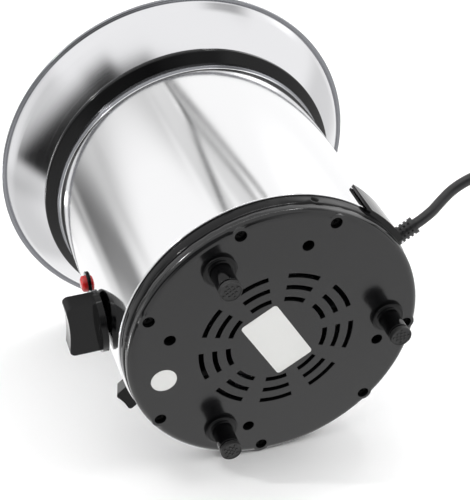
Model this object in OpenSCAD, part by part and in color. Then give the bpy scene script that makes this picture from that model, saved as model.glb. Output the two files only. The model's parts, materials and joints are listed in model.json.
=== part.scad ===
// Base unit of a table chocolate fountain: heated bowl, steel body, gear drive, controls, feet and lead.
// Millimetres. +Z is up, the axis of the bowl is Z, and the unit stands on its three feet at z = 0.

/* [Bowl] */
// How far the bowl's rolled rim stands out past the collar
bowl_out = 22.2; // [16:0.2:40]
// Height from the underside of the bowl's floor to the top of its rim
bowl_h = 44; // [38:1:60]
// How far inside the steel body the bowl's flat floor ends
bowl_floor_in = 28.3; // [24:0.1:34]
// Radius of the turn from the floor into the flared wall
bowl_turn_r = 40; // [34:1:42]
// Thickness of the bowl's steel
bowl_wall = 0.8; // [0.6:0.1:1.4]
// Radius of the rolled bead at the rim
rim_bead_r = 1.6; // [1.2:0.1:2.4]
// Outer radius of the neck that keeps chocolate away from the spindle
neck_r = 9; // [8.5:0.5:12]
// Height of the neck over the underside of the floor
neck_h = 9; // [6:0.5:14]

/* [Collar] */
// How far the collar stands out past the steel body
collar_out = 7.5; // [5:0.1:10]
// Height of the collar over the top edge of the steel body
collar_h = 9; // [8:0.5:12]
// How far the collar's inner edge lies inside the steel body
collar_in = 4.3; // [3:0.1:6]
// Depth of the spigot inside the steel body
collar_spigot_h = 8; // [5:0.5:14]

/* [Steel body] */
// Outer radius of the body at its foot
body_low_r = 88.6; // [80:0.2:105]
// How much wider the body is under its top bead
body_flare = 1.7; // [0.5:0.1:4]
// Height of the body with its top bead
body_h = 147.7; // [140:1:180]
// Thickness of the body's sheet
body_wall = 0.6; // [0.4:0.1:0.8]
// Height of the bead at the top edge
body_bead_h = 5.1; // [3:0.1:8]
// How far the bead stands out
body_bead_out = 1.1; // [0.5:0.1:1.4]
// Width of the lip turned in at the foot
body_lip_w = 3; // [2:0.5:5]

/* [Base] */
// How far the bottom cover's side lies inside the body's foot
cover_in = 1.6; // [1.2:0.1:2]
// Height of the bottom cover
cover_h = 7.3; // [6.5:0.1:10]
// Radius of the cover's rounded lower edge
cover_round_r = 4; // [2:0.5:5]
// Thickness of the cover's plate
cover_floor = 3; // [2:0.5:4]
// Thickness of the cover's and base ring's side wall
base_wall = 3.7; // [3:0.1:5]
// How far the base ring's band lies inside the body's foot
ring_in = 1.1; // [0.8:0.1:1.5]
// Height of the base ring's outer band
ring_h = 7.1; // [6:0.1:10]
// Height of the base ring's spigot inside the steel body
ring_spigot_h = 6; // [4:0.5:10]

/* [Vents] */
// Number of vent groups round the plate
vent_groups = 9; // [6:1:10]
// Mean radii of the concentric slots of one group
vent_radii = [29, 37, 45];
// Width of a vent slot
vent_w = 3; // [2:0.2:4]
// Half of the angle that a slot covers
vent_half_deg = 12.6; // [8:0.2:14]
// Direction of the first group
vent_from_deg = 60; // [0:1:80]

/* [Feet] */
// Height of the feet under the plate
foot_h = 20.5; // [18:0.5:26]
// How far inside the body's foot radius the feet stand
foot_in = 20.9; // [19:0.1:22]
// Direction of the first foot
foot_from_deg = 90; // [88:1:92]
// Radius of the threaded foot stem
foot_stem_r = 6.1; // [5.6:0.1:6.6]
// Height of the rubber pad
foot_pad_h = 3.2; // [2:0.1:5]
// Radius of the rubber pad
foot_pad_r = 6.3; // [5.8:0.1:6.8]
// Radius of the socket moulded on the plate
foot_socket_r = 9.8; // [9:0.1:10.5]
// Height of the socket under the plate
foot_socket_h = 3; // [2:0.1:4]

/* [Heat control] */
// Direction of the heat knob and the pilot lamp
heat_deg = 270; // [268:1:272]
// Height of the heat knob's axis over the foot of the steel body
heat_up = 34.1; // [30:0.1:40]
// Radius of the knob's skirt
heat_skirt_r = 18.2; // [16:0.1:20]
// Thickness of the knob's skirt
heat_skirt_t = 3.6; // [3:0.1:5]
// Length of the knob's grip across the dial
heat_grip_l = 35; // [30:0.5:36]
// Thickness of the grip
heat_grip_t = 11.4; // [10:0.1:13]
// Height of the grip over the skirt
heat_grip_h = 17.4; // [14:0.2:20]

/* [Motor control] */
// Direction of the motor knob
motor_knob_deg = 231.7; // [229:0.1:236]
// Height of the motor knob's axis over the foot of the steel body
motor_knob_up = 34.1; // [30:0.1:40]
// Length of the motor knob's grip
motor_grip_l = 15; // [13:0.5:17]
// Thickness of the motor knob's grip
motor_grip_t = 13; // [9:0.5:14]
// Height of the motor knob's grip over its skirt
motor_grip_h = 10.3; // [8:0.1:12]
// How far the motor knob is turned in the photographed state
motor_grip_turn = 22; // [0:1:45]

/* [Pilot lamp] */
// Height of the lamp's axis over the foot of the steel body
lamp_up = 70.1; // [64:0.1:78]
// Radius of the red lens
lens_r = 5; // [4:0.1:6]
// How far the lens stands out of its bezel
lens_out = 2.6; // [1.5:0.1:4]

/* [Gear drive] */
// Teeth of the motor pinion and of the idler's pinion
pinion_teeth = 10; // [10:1:12]
// Teeth of the idler's wheel
wheel_teeth = 40; // [36:1:40]
// Teeth of the output wheel
output_teeth = 36; // [34:1:36]
// Module of the first stage
fine_module = 1; // [0.9:0.05:1]
// Module of the second stage
coarse_module = 1.25; // [1.15:0.05:1.25]
// Radius of the drive spindle's free top, which takes the auger
spindle_r = 4; // [3.5:0.1:4.5]
// How far the spindle stands up over the bowl's neck
spindle_up = 20; // [16:1:30]

/* [Mains lead] */
// Direction of the cord outlet
cord_deg = 60; // [58:1:62]
// Height of the cord outlet's axis over the plate
cord_up = 14.5; // [14:0.1:15]
// Diameter of the lead
cord_d = 6.4; // [6:0.1:6.8]

/* [Hidden] */
$fn = 72;
// Overrun of every cut past the face it leaves by
over = 1;
// Gap between a fixed piece and its seat
seat_gap = 0.1;
// Radial running clearance of shafts
run_gap = 0.05;
// Angle of a full turn and of a quarter turn
full_turn = 360;
quarter = full_turn / 4;

// Heights of the stacked housings
plate_z = foot_h;
ring_z = plate_z + cover_h;
body_z = ring_z + ring_h;
collar_z = body_z + body_h;
heat_z = body_z + heat_up;
motor_knob_z = body_z + motor_knob_up;
lamp_z = body_z + lamp_up;
cord_z = plate_z + cord_up;
// Radii that follow the steel body
cover_r = body_low_r - cover_in;
ring_r = body_low_r - ring_in;
body_high_r = body_low_r + body_flare;
collar_r = body_high_r + collar_out;
collar_in_r = body_high_r - collar_in;
bowl_rim_r = collar_r + bowl_out;
bowl_floor_r = body_high_r - bowl_floor_in;
foot_circle_r = body_low_r - foot_in;
collar_top_z = collar_z + collar_h;
// The bowl's underside passes this far over the top edge of the body at the collar's inner edge
bowl_seat_up = 1.4;
bowl_seat_h = bowl_turn_r - sqrt(pow(bowl_turn_r, 2) - pow(collar_in_r - bowl_floor_r, 2));
bowl_z = collar_z + bowl_seat_up - bowl_seat_h;
rim_z = bowl_z + bowl_h;

// Bowl curve: a floor, a turn and a straight flare that ends in the bead
turn_centre = [bowl_floor_r, bowl_z + bowl_turn_r];
bead_centre = [bowl_rim_r - rim_bead_r, rim_z - rim_bead_r];
bead_away = bead_centre - turn_centre;
flare_deg = atan2(bead_away[1], bead_away[0]) + asin(bowl_turn_r / norm(bead_away));
turn_steps = 14;

// Small sizes of the collar
collar_low_out = 1.1;
collar_low_r = body_high_r + collar_low_out;
collar_slope_h = 4.6;
collar_round_r = 2.2;
collar_spigot_gap = 0.3;

// Small sizes of the base
groove_d = 0.7;
groove_h = 0.5;
ring_edge_r = 0.8;
ring_spigot_r = body_low_r - body_lip_w - seat_gap;
// Rear block that stands up from the ring over the steel, beside the cord outlet
block_before_deg = 20.8;
block_past_deg = 1;
block_from_deg = cord_deg - block_before_deg;
block_to_deg = cord_deg + block_past_deg;
block_low = 1.7;
block_up = 21.6;
block_z = ring_z + block_low;
block_top_z = body_z + block_up;
block_gap = 0.6;
block_t = 1.8;
block_root = 2;
block_in_r = body_low_r + block_gap;
block_out_r = block_in_r + block_t;
block_root_r = ring_r - block_root;

// Screws of the base: directions are measured from the cord's opposite side
outer_screw_in = 7.9;
outer_screw_r = body_low_r - outer_screw_in;
outer_screw_degs = [0, 54, -54, 104.4, -104.4, 143.8, -143.8];
outer_screws_from = cord_deg + full_turn / 2;
inner_screw_in = 23.9;
inner_screw_r = body_low_r - inner_screw_in;
inner_screws = 4;
inner_screws_from = 15;
well_r = 3.5;
well_wall = 1.8;
outer_well_h = 4.6;
inner_well_h = 14;
inner_boss_h = 20;
screw_r = 1.5;
screw_head_r = 3;
screw_head_h = 2.2;
screw_slot_w = 0.8;
screw_slot_d = 0.9;
outer_screw_l = 13;
inner_screw_l = 16;
outer_boss_h = 12;
outer_boss_r = 4.5;
side_screw_deg = 15.8;
side_screws = 2;
side_screw_z = ring_z + ring_h / 2;
side_screw_l = 5;

// Feet
feet = 3;
foot_gap = 0.06;
foot_stem_up = 14;
foot_boss_w = 2.4;
foot_groove_h = 0.9;
foot_groove_d = 0.8;
pad_rib_w = 1.1;
pad_rib_pitch = 2.2;
pad_rib_d = 0.5;
pad_pin_r = 2.6;
pad_pin_h = 5;

// Frame inside the body
post_r = 4;
post_z = plate_z + inner_boss_h;
motor_plate_drop = 50;
motor_plate_z = bowl_z - motor_plate_drop;
motor_plate_t = 2;
motor_plate_edge = 3.4;
motor_plate_r = inner_screw_r + motor_plate_edge;
motor_plate_hole_r = 13;
motor_plate_top = motor_plate_z + motor_plate_t;
heater_t = 4;
heater_gap = 0.2;
heater_z = bowl_z - heater_gap - heater_t;
heater_in = 20.3;
heater_r = body_high_r - heater_in;
element_in = 20;
element_r = heater_r - element_in;
element_tube_r = 3.3;
element_span_deg = 318;
element_leg = 14;
element_from_deg = 290;

// Tower studs in the bowl
studs = 3;
stud_in = 12;
stud_circle_r = element_r - stud_in;
stud_r = 2.5;
stud_up = 12;
stud_head_r = 4;
stud_head_h = 1;
stud_nut_r = 4.6;
stud_nut_h = 4;
nut_sides = 6;

// Gear drive: first stage low, second stage high
idler_deg = 150;
pressure_deg = 25;
tooth_share = 0.46;
addendum_share = 0.9;
dedendum_share = 1.2;
flank_steps = 3;
idler_away = coarse_module * (output_teeth + pinion_teeth) / 2;
rotor_from_idler = fine_module * (wheel_teeth + pinion_teeth) / 2;
rotor_away_share = 0.97;
rotor_away = rotor_away_share * (idler_away + rotor_from_idler) / 2;
rotor_turn_deg = acos((pow(idler_away, 2) + pow(rotor_away, 2) - pow(rotor_from_idler, 2))
    / (2 * idler_away * rotor_away));
rotor_deg = idler_deg + rotor_turn_deg;
idler_at = idler_away * [cos(idler_deg), sin(idler_deg)];
rotor_at = rotor_away * [cos(rotor_deg), sin(rotor_deg)];
idler_to_rotor_deg = atan2(rotor_at[1] - idler_at[1], rotor_at[0] - idler_at[0]);
case_wall = 2;
case_z = motor_plate_top;
stage_gap = 0.8;
low_gear_h = 6;
high_gear_h = 8;
low_gear_z = case_z + case_wall + stage_gap;
high_gear_z = low_gear_z + low_gear_h + stage_gap;
case_h = case_wall + low_gear_h + high_gear_h + 3 * stage_gap;
lid_z = case_z + case_h;
case_room = 1.5;
case_neck_share = 0.9;
output_tip_r = coarse_module * (output_teeth / 2 + addendum_share);
wheel_tip_r = fine_module * (wheel_teeth / 2 + addendum_share);
pinion_tip_r = fine_module * (pinion_teeth / 2 + addendum_share);
bush_r = 6.5;
bush_h = 7;
idler_pin_r = 2;
spindle_top_z = bowl_z + neck_h + spindle_up;
// The spindle is thicker up to a shoulder just over its cross pin
spindle_step = 0.8;
spindle_low_r = spindle_r + spindle_step;
shoulder_share = 0.3;
shoulder_z = bowl_z + neck_h + shoulder_share * spindle_up;
drive_pin_r = 1.5;
drive_pin_l = 18;
drive_pin_up = 3.5;
seal_h = 6;

// Motor
rotor_r = 12;
rotor_gap = 0.4;
stack_h = 22;
stack_drop = 9.5;
stack_z = motor_plate_z - stack_drop - stack_h;
stack_w = 50;
stack_near = 16;
stack_far = 46;
window_w = 30;
window_from = 17;
window_to = 33;
coil_t = 8;
rotor_shaft_r = 2.5;
bracket_t = 2;
bracket_w = 15;
bracket_l = 44;
bracket_away = 5;
bracket_leg_r = 2.4;
bracket_leg_at = 18;
motor_bush_r = 5;
motor_bush_h = 5;
fan_r = 26;
fan_hub_r = 7;
fan_h = 12;
fan_blades = 7;
fan_blade_t = 1.2;
fan_blade_turn = 35;
fan_drop = 6;

// Controls
heat_gap = 0.7;
heat_back_r = body_r(heat_z) + heat_gap;
knob_recess_r = 9.2;
knob_recess_h = 2.4;
switch_bush_r = 4.6;
switch_hole_r = 5;
switch_nut_r = 7.4;
switch_nut_h = 1.8;
switch_w = 24;
switch_l = 16;
switch_wall_gap = 5;
shaft_r = 3;
shaft_in_knob = 11;
grip_round_r = 3.5;
grip_waist = 1.1;
grip_root = 0.4;
motor_skirt_r = 7.4;
motor_skirt_t = 3;
motor_grip_round_r = 2;
motor_recess_h = 2.2;
motor_switch_w = 17;
motor_switch_l = 14;
motor_bush_out_r = 3.4;
motor_nut_r = 5.2;
motor_shaft_r = 2;
motor_hole_r = 3.8;
motor_knob_gap = 0.5;
motor_back_r = body_r(motor_knob_z) + motor_knob_gap;
bezel_r = 6.4;
bezel_t = 0.9;
bezel_neck_r = 5.9;
lamp_hole_r = 6;
lamp_neck_l = 9;
lamp_can_l = 12;
lamp_can_r = 5.2;

// Labels
label_l = 46;
label_w = 24;
label_t = 0.2;
label_round_r = 2;
label_deg = 150;
sticker_r = 7.5;
sticker_in = 20.8;
sticker_circle_r = body_low_r - sticker_in;
sticker_deg = 260.4;

// Cord outlet
gland_out = 13.5;
gland_tip_r = ring_r + gland_out;
gland_rib_r = 5;
gland_core_r = 3.7;
gland_ribs = 4;
gland_rib_t = 1.5;
gland_collar_t = 2.6;
gland_neck_r = 4.2;
gland_flange_r = 6;
gland_flange_t = 1.8;
gland_spine_w = 1.6;
gland_hole_r = 5.6;
gland_seat_d = 0.4;
inner_cord_in = 15.5;
inner_cord_to_r = ring_r - inner_cord_in;

// Terminal block and cord clamp
terminal_in = 29.6;
terminal_r = body_low_r - terminal_in;
terminal_l = 28;
terminal_w = 15;
terminal_h = 12;
terminal_bores = 3;
terminal_bore_r = 2.1;
terminal_pitch = 9;
clamp_in = 12.6;
clamp_r = body_low_r - clamp_in;
clamp_w = 18;
clamp_l = 6;
clamp_gap = 0.1;
clamp_h = 6;

// Thermostat and fuse under the heater plate
thermostat_r = 8;
thermostat_h = 9;
thermostat_at = 27;
thermostat_deg = 100;
tab_w = 6.3;
tab_t = 0.8;
tab_h = 8;
fuse_r = 2;
fuse_l = 14;
fuse_deg = 340;
fuse_at = 30;

// Plug
plug_w = 35.3;
plug_t = 13.7;
plug_l = 24;
plug_round_r = 6;
plug_boot_l = 14;
plug_boot_r = 5;
pin_r = 2;
pin_l = 19;
pin_pitch = 19;

// Route of the lead's free stretch: [distance past the gland's tip, height over the table]
cord_steps = [[0, 35], [4.5, 35], [12.4, 36], [20, 38.6], [27.7, 40.7], [35.7, 40.9], [43.6, 39.3],
    [50.8, 35.8], [57, 30.8], [62.8, 25.3], [68.5, 19.7], [74.4, 14.2], [80.8, 9.5], [88.1, 6],
    [95.8, 3.9], [103.8, 3.3], [111.3, 3.2]];
cord_last = len(cord_steps) - 1;
// The start keeps to the outlet and the end to the table when either moves
cord_route = [for (i = [0:cord_last]) [gland_tip_r + cord_steps[i][0],
    cord_steps[i][1] + (cord_z - cord_steps[0][1]) * (1 - i / cord_last)]];
// Coil of the rest of the lead, wound left of that direction on the table
coil_r = 43.8;
coil_turns = 5;
coil_layers = 2;
coil_layer_turns = coil_turns / coil_layers;
coil_gap = 0.6;
coil_pitch = cord_d + coil_gap;
coil_rings_per_turn = 24;
coil_sides = 6;
cord_sides = 8;
coil_start = cord_route[cord_last][0];
coil_z = cord_route[cord_last][1];
coil_tail_l = 40;
tail_rings = 8;
tail_level_share = 0.4;
tail_down_share = 0.45;
plug_z = plug_t / 2;

function arc(centre, r, from, to, steps) =
    [for (i = [0:steps]) let (a = from + (to - from) * i / steps) centre + r * [cos(a), sin(a)]];
function reversed(list) = [for (i = [len(list) - 1:-1:0]) list[i]];
function body_r(z) = body_low_r + (body_high_r - body_low_r) * (z - body_z) / (body_h - body_bead_h);

// A line that runs beside the bowl's underside, at a distance below it, from a radius to a height
function bowl_side(away, from_r, to_z) =
    let (r = bowl_turn_r + away,
        start = asin((from_r - bowl_floor_r) / r) - quarter,
        end = flare_deg - quarter,
        last = turn_centre + r * [cos(end), sin(end)],
        left = (to_z - last[1]) / sin(flare_deg))
    concat(arc(turn_centre, r, start, end, turn_steps), [last + left * [cos(flare_deg), sin(flare_deg)]]);

// Children are drawn with +Z pointing straight out of the body
module radial(deg, z) {
    rotate([0, 0, deg])
        translate([0, 0, z])
            rotate([0, quarter, 0])
                children();
}

module at_polar(r, deg, z) {
    rotate([0, 0, deg])
        translate([r, 0, z])
            children();
}

module tube(r, bore, h) {
    difference() {
        cylinder(r = r, h = h);
        translate([0, 0, -over])
            cylinder(r = bore, h = h + 2 * over);
    }
}

module hexagon(r, h) {
    cylinder(r = r, h = h, $fn = nut_sides);
}

// Bowl and its studs

module bowl() {
    color("silver")
        difference() {
            rotate_extrude() {
                polygon(concat(
                    [[neck_r - bowl_wall, bowl_z]],
                    arc(turn_centre, bowl_turn_r, -quarter, flare_deg - quarter, turn_steps),
                    [bead_centre, bead_centre + bowl_wall * [-sin(flare_deg), cos(flare_deg)]],
                    arc(turn_centre, bowl_turn_r - bowl_wall, flare_deg - quarter, -quarter, turn_steps),
                    [[neck_r, bowl_z + bowl_wall], [neck_r, bowl_z + neck_h],
                    [neck_r - bowl_wall, bowl_z + neck_h]]));
                translate(bead_centre)
                    circle(r = rim_bead_r);
            }
            stud_places()
                translate([0, 0, bowl_z - over])
                    cylinder(r = stud_r + seat_gap, h = bowl_wall + 2 * over);
        }
}

module stud_places() {
    for (i = [0:studs - 1])
        at_polar(stud_circle_r, foot_from_deg + i * full_turn / studs, 0)
            children();
}

module tower_studs() {
    color("gainsboro")
        stud_places() {
            foot_z = heater_z - stud_nut_h - stud_head_h;
            translate([0, 0, foot_z])
                cylinder(r = stud_r, h = bowl_z + bowl_wall - foot_z);
            translate([0, 0, bowl_z + bowl_wall])
                cylinder(r = stud_head_r, h = stud_head_h);
            translate([0, 0, bowl_z + bowl_wall + stud_head_h])
                cylinder(r = stud_r, h = stud_up);
        }
}

module stud_nuts() {
    color("silver")
        stud_places()
            translate([0, 0, heater_z - stud_nut_h])
                difference() {
                    hexagon(stud_nut_r, stud_nut_h);
                    translate([0, 0, -over])
                        cylinder(r = stud_r + seat_gap, h = stud_nut_h + 2 * over);
                }
}

// Housing

module collar() {
    spigot_r = body_high_r - body_wall - collar_spigot_gap;
    round_at = [collar_r - collar_round_r, collar_top_z - collar_round_r];
    color("#1c1c1e")
        rotate_extrude()
            polygon(concat(
                [[collar_in_r, collar_z - collar_spigot_h], [spigot_r, collar_z - collar_spigot_h],
                [spigot_r, collar_z], [collar_low_r, collar_z], [collar_r, collar_z + collar_slope_h]],
                arc(round_at, collar_round_r, 0, quarter, turn_steps / 2),
                reversed(bowl_side(seat_gap, collar_in_r, collar_top_z))));
}

module body_sleeve() {
    bead_z = collar_z - body_bead_h;
    outside = [[body_low_r, body_z], [body_high_r, bead_z],
        [body_high_r + body_bead_out, bead_z + body_bead_h / 3], [body_high_r + body_bead_out, collar_z]];
    wall = [body_wall, 0];
    lip = [body_low_r - body_lip_w, body_z];
    color("lightgray")
        difference() {
            rotate_extrude()
                polygon(concat(outside,
                    [outside[3] - wall, outside[2] - wall, outside[1] - wall,
                    outside[0] - wall + [0, body_wall], lip + [0, body_wall], lip]));
            radial(heat_deg, heat_z)
                cylinder(r = switch_hole_r, h = body_high_r + over);
            radial(motor_knob_deg, motor_knob_z)
                cylinder(r = motor_hole_r, h = body_high_r + over);
            radial(heat_deg, lamp_z)
                cylinder(r = lamp_hole_r, h = body_high_r + over);
            radial(cord_deg, cord_z)
                cylinder(r = gland_flange_r + seat_gap, h = body_high_r + over);
        }
}

module screw_places(r, degs, from) {
    for (deg = degs)
        at_polar(r, from + deg, 0)
            children();
}

module outer_places() {
    screw_places(outer_screw_r, outer_screw_degs, outer_screws_from)
        children();
}

module inner_places() {
    screw_places(inner_screw_r, [for (i = [0:inner_screws - 1]) i * full_turn / inner_screws],
        inner_screws_from)
        children();
}

module foot_places() {
    screw_places(foot_circle_r, [for (i = [0:feet - 1]) i * full_turn / feet], foot_from_deg)
        children();
}

module base_ring() {
    in_r = cover_r - base_wall;
    color("#242426")
        difference() {
            union() {
                rotate_extrude()
                    polygon(concat(
                        [[in_r, ring_z], [cover_r - groove_d, ring_z], [ring_r, ring_z + groove_h]],
                        arc([ring_r - ring_edge_r, body_z - ring_edge_r], ring_edge_r, 0, quarter,
                            flank_steps),
                        [[ring_spigot_r, body_z], [ring_spigot_r, body_z + ring_spigot_h],
                        [in_r, body_z + ring_spigot_h]]));
                rotate([0, 0, block_from_deg])
                    rotate_extrude(angle = block_to_deg - block_from_deg)
                        polygon([[block_root_r, block_z], [block_out_r, block_z], [block_out_r, block_top_z],
                            [block_in_r, block_top_z], [block_in_r, body_z - ring_edge_r],
                            [block_root_r, body_z - ring_edge_r]]);
                outer_places()
                    translate([0, 0, ring_z + seat_gap])
                        cylinder(r = outer_boss_r, h = outer_boss_h - seat_gap);
            }
            outer_places()
                translate([0, 0, ring_z - over])
                    cylinder(r = screw_r + seat_gap, h = outer_screw_l + over);
            radial(cord_deg, cord_z)
                translate([0, 0, in_r - base_wall])
                    cylinder(r = gland_neck_r + seat_gap, h = block_out_r);
            radial(cord_deg, cord_z)
                translate([0, 0, ring_r - gland_seat_d])
                    cylinder(r = gland_hole_r, h = block_out_r);
            side_screw_places()
                translate([0, 0, -over])
                    cylinder(r = screw_r + seat_gap, h = ring_r);
        }
}

module side_screw_places() {
    for (i = [0:side_screws - 1])
        radial(side_screw_deg + i * full_turn / side_screws, side_screw_z)
            translate([0, 0, ring_r - side_screw_l])
                children();
}

module side_screws() {
    color("dimgray")
        side_screw_places() {
            cylinder(r = screw_r, h = side_screw_l);
            translate([0, 0, side_screw_l])
                intersection() {
                    cylinder(r = screw_head_r - screw_slot_w, h = screw_head_h);
                    translate([0, 0, -screw_head_r])
                        sphere(r = screw_head_r + screw_slot_d);
                }
        }
}

module base_cover() {
    in_r = cover_r - base_wall;
    inside_z = plate_z + cover_floor;
    color("#1a1a1c")
        difference() {
            union() {
                rotate_extrude()
                    polygon(concat(
                        [[0, plate_z]],
                        arc([cover_r - cover_round_r, plate_z + cover_round_r], cover_round_r, -quarter, 0,
                            turn_steps / 2),
                        [[cover_r, ring_z - groove_h], [cover_r - groove_d, ring_z], [in_r, ring_z],
                        [in_r, inside_z], [0, inside_z]]));
                foot_places()
                    foot_socket();
                inner_places()
                    translate([0, 0, plate_z])
                        cylinder(r = well_r + well_wall, h = inner_boss_h);
                outer_places()
                    translate([0, 0, plate_z])
                        cylinder(r = well_r + well_wall, h = cover_h - groove_h);
            }
            vents();
            foot_places()
                translate([0, 0, plate_z - foot_socket_h - over])
                    cylinder(r = foot_stem_r + foot_gap, h = foot_stem_up + foot_h);
            outer_places()
                screw_well(outer_well_h, cover_h);
            inner_places()
                screw_well(inner_well_h, inner_boss_h);
        }
}

// A socket with a rounded lower edge outside and a guide tube inside
module foot_socket() {
    edge = foot_socket_h / 2;
    rotate_extrude()
        polygon(concat(
            [[0, plate_z - foot_socket_h]],
            arc([foot_socket_r - edge, plate_z - foot_socket_h + edge], edge, -quarter, 0, flank_steps),
            [[foot_socket_r, plate_z + cover_floor], [foot_stem_r + foot_boss_w, plate_z + cover_floor],
            [foot_stem_r + foot_boss_w, plate_z + foot_stem_up], [0, plate_z + foot_stem_up]]));
}

module screw_well(depth, h) {
    translate([0, 0, plate_z - over])
        cylinder(r = well_r, h = depth + over);
    translate([0, 0, plate_z - over])
        cylinder(r = screw_r + seat_gap, h = h + 2 * over);
}

module vents() {
    for (i = [0:vent_groups - 1], r = vent_radii)
        rotate([0, 0, vent_from_deg + i * full_turn / vent_groups - vent_half_deg])
            translate([0, 0, plate_z - over])
                rotate_extrude(angle = 2 * vent_half_deg)
                    translate([r - vent_w / 2, 0])
                        square([vent_w, cover_floor + 2 * over]);
}

module screw(length) {
    difference() {
        cylinder(r = screw_head_r, h = screw_head_h);
        for (deg = [0, quarter])
            rotate([0, 0, deg])
                translate([-screw_head_r / 2, -screw_slot_w / 2, -over])
                    cube([screw_head_r, screw_slot_w, screw_slot_d + over]);
    }
    translate([0, 0, screw_head_h])
        cylinder(r = screw_r, h = length - screw_head_h);
}

module cover_screws() {
    color("gray")
        outer_places()
            translate([0, 0, plate_z + outer_well_h - screw_head_h])
                screw(outer_screw_l);
}

module post_screws() {
    color("gray")
        inner_places()
            translate([0, 0, plate_z + inner_well_h - screw_head_h])
                screw(inner_screw_l);
}

// Feet

module foot_stem(deg) {
    color("#202022")
        at_polar(foot_circle_r, deg, 0)
            difference() {
                rotate_extrude()
                    polygon([[0, foot_pad_h], [foot_stem_r - foot_groove_d, foot_pad_h],
                        [foot_stem_r - foot_groove_d, foot_pad_h + foot_groove_h],
                        [foot_stem_r, foot_pad_h + foot_groove_h], [foot_stem_r, plate_z + foot_stem_up],
                        [0, plate_z + foot_stem_up]]);
                translate([0, 0, foot_pad_h - over])
                    cylinder(r = pad_pin_r + seat_gap, h = pad_pin_h + seat_gap + over);
            }
}

module foot_pad(deg) {
    count = ceil(foot_pad_r / pad_rib_pitch);
    color("#2c2c2c")
        at_polar(foot_circle_r, deg, 0) {
            difference() {
                cylinder(r = foot_pad_r, h = foot_pad_h);
                for (i = [-count:count], turn = [0, quarter])
                    rotate([0, 0, turn])
                        translate([-foot_pad_r, (i + 1 / 2) * pad_rib_pitch - pad_rib_w / 2, -over])
                            cube([2 * foot_pad_r, pad_rib_w, pad_rib_d + over]);
            }
            translate([0, 0, foot_pad_h])
                cylinder(r = pad_pin_r, h = pad_pin_h);
        }
}

// Inner frame

module lower_posts() {
    color("silver")
        inner_places()
            translate([0, 0, post_z])
                difference() {
                    cylinder(r = post_r, h = motor_plate_z - post_z);
                    translate([0, 0, -over])
                        cylinder(r = screw_r + seat_gap, h = inner_screw_l + over);
                }
}

module upper_posts() {
    color("silver")
        inner_places()
            translate([0, 0, motor_plate_top])
                cylinder(r = post_r, h = heater_z - motor_plate_top);
}

module motor_plate() {
    color("silver")
        translate([0, 0, motor_plate_z])
            difference() {
                cylinder(r = motor_plate_r, h = motor_plate_t);
                for (i = [0:inner_screws - 1])
                    at_polar(inner_screw_r, inner_screws_from + (i + 1 / 2) * full_turn / inner_screws, -over)
                        cylinder(r = motor_plate_hole_r, h = motor_plate_t + 2 * over);
                translate([0, 0, -over])
                    cylinder(r = bush_r + seat_gap, h = motor_plate_t + 2 * over);
                translate([rotor_at[0], rotor_at[1], -over])
                    cylinder(r = motor_bush_r + 2 * seat_gap, h = motor_plate_t + 2 * over);
            }
}

module heater_plate() {
    color("lightgray")
        difference() {
            translate([0, 0, heater_z])
                tube(heater_r, neck_r + over, heater_t);
            stud_places()
                translate([0, 0, heater_z - over])
                    cylinder(r = stud_r + seat_gap, h = heater_t + 2 * over);
        }
}

module heater_element() {
    z = heater_z - seat_gap - element_tube_r;
    color("darkgray") {
        rotate([0, 0, element_from_deg])
            rotate_extrude(angle = element_span_deg)
                translate([element_r, z])
                    circle(r = element_tube_r);
        for (deg = [0, element_span_deg])
            at_polar(element_r, element_from_deg + deg, z - element_leg)
                cylinder(r = element_tube_r / 2, h = element_leg);
    }
}

module thermostat() {
    color("tan")
        at_polar(thermostat_at, thermostat_deg, heater_z - seat_gap - thermostat_h) {
            cylinder(r = thermostat_r, h = thermostat_h);
            for (side = [-1, 1])
                translate([side * thermostat_r / 2 - tab_t / 2, -tab_w / 2, -tab_h])
                    cube([tab_t, tab_w, tab_h]);
        }
}

module thermal_fuse() {
    color("lightyellow")
        at_polar(fuse_at, fuse_deg, heater_z - seat_gap - fuse_r)
            rotate([quarter, 0, 0])
                cylinder(r = fuse_r, h = fuse_l, center = true);
}

// Gear drive

function involute(deg) = tan(deg) * full_turn / (2 * PI) - deg;
function half_tooth(r, base_r, teeth) =
    full_turn / (2 * teeth) * tooth_share + involute(pressure_deg) - involute(acos(min(1, base_r / r)));
function gear_points(module_size, teeth) =
    let (pitch_r = module_size * teeth / 2,
        base_r = pitch_r * cos(pressure_deg),
        tip_r = pitch_r + addendum_share * module_size,
        root_r = pitch_r - dedendum_share * module_size,
        from_r = max(base_r, root_r),
        radii = [for (i = [0:flank_steps]) from_r + (tip_r - from_r) * i / flank_steps])
    [for (t = [0:teeth - 1]) let (mid = t * full_turn / teeth,
        flank = [for (r = radii) [r, half_tooth(r, base_r, teeth)]],
        side = concat([[root_r, flank[0][1]]], flank))
        each concat(
            [for (p = side) p[0] * [cos(mid - p[1]), sin(mid - p[1])]],
            [for (p = reversed(side)) p[0] * [cos(mid + p[1]), sin(mid + p[1])]])];

module gear(module_size, teeth, h) {
    linear_extrude(height = h)
        polygon(gear_points(module_size, teeth));
}

// Outline of the gear case round its three shafts
module case_outline(grow) {
    circle(r = output_tip_r + grow);
    translate(idler_at)
        circle(r = wheel_tip_r + grow);
    translate(rotor_at)
        circle(r = pinion_tip_r + grow);
    rotate([0, 0, idler_deg])
        translate([0, -case_neck_share * (wheel_tip_r + grow)])
            square([idler_away, 2 * case_neck_share * (wheel_tip_r + grow)]);
}

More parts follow.
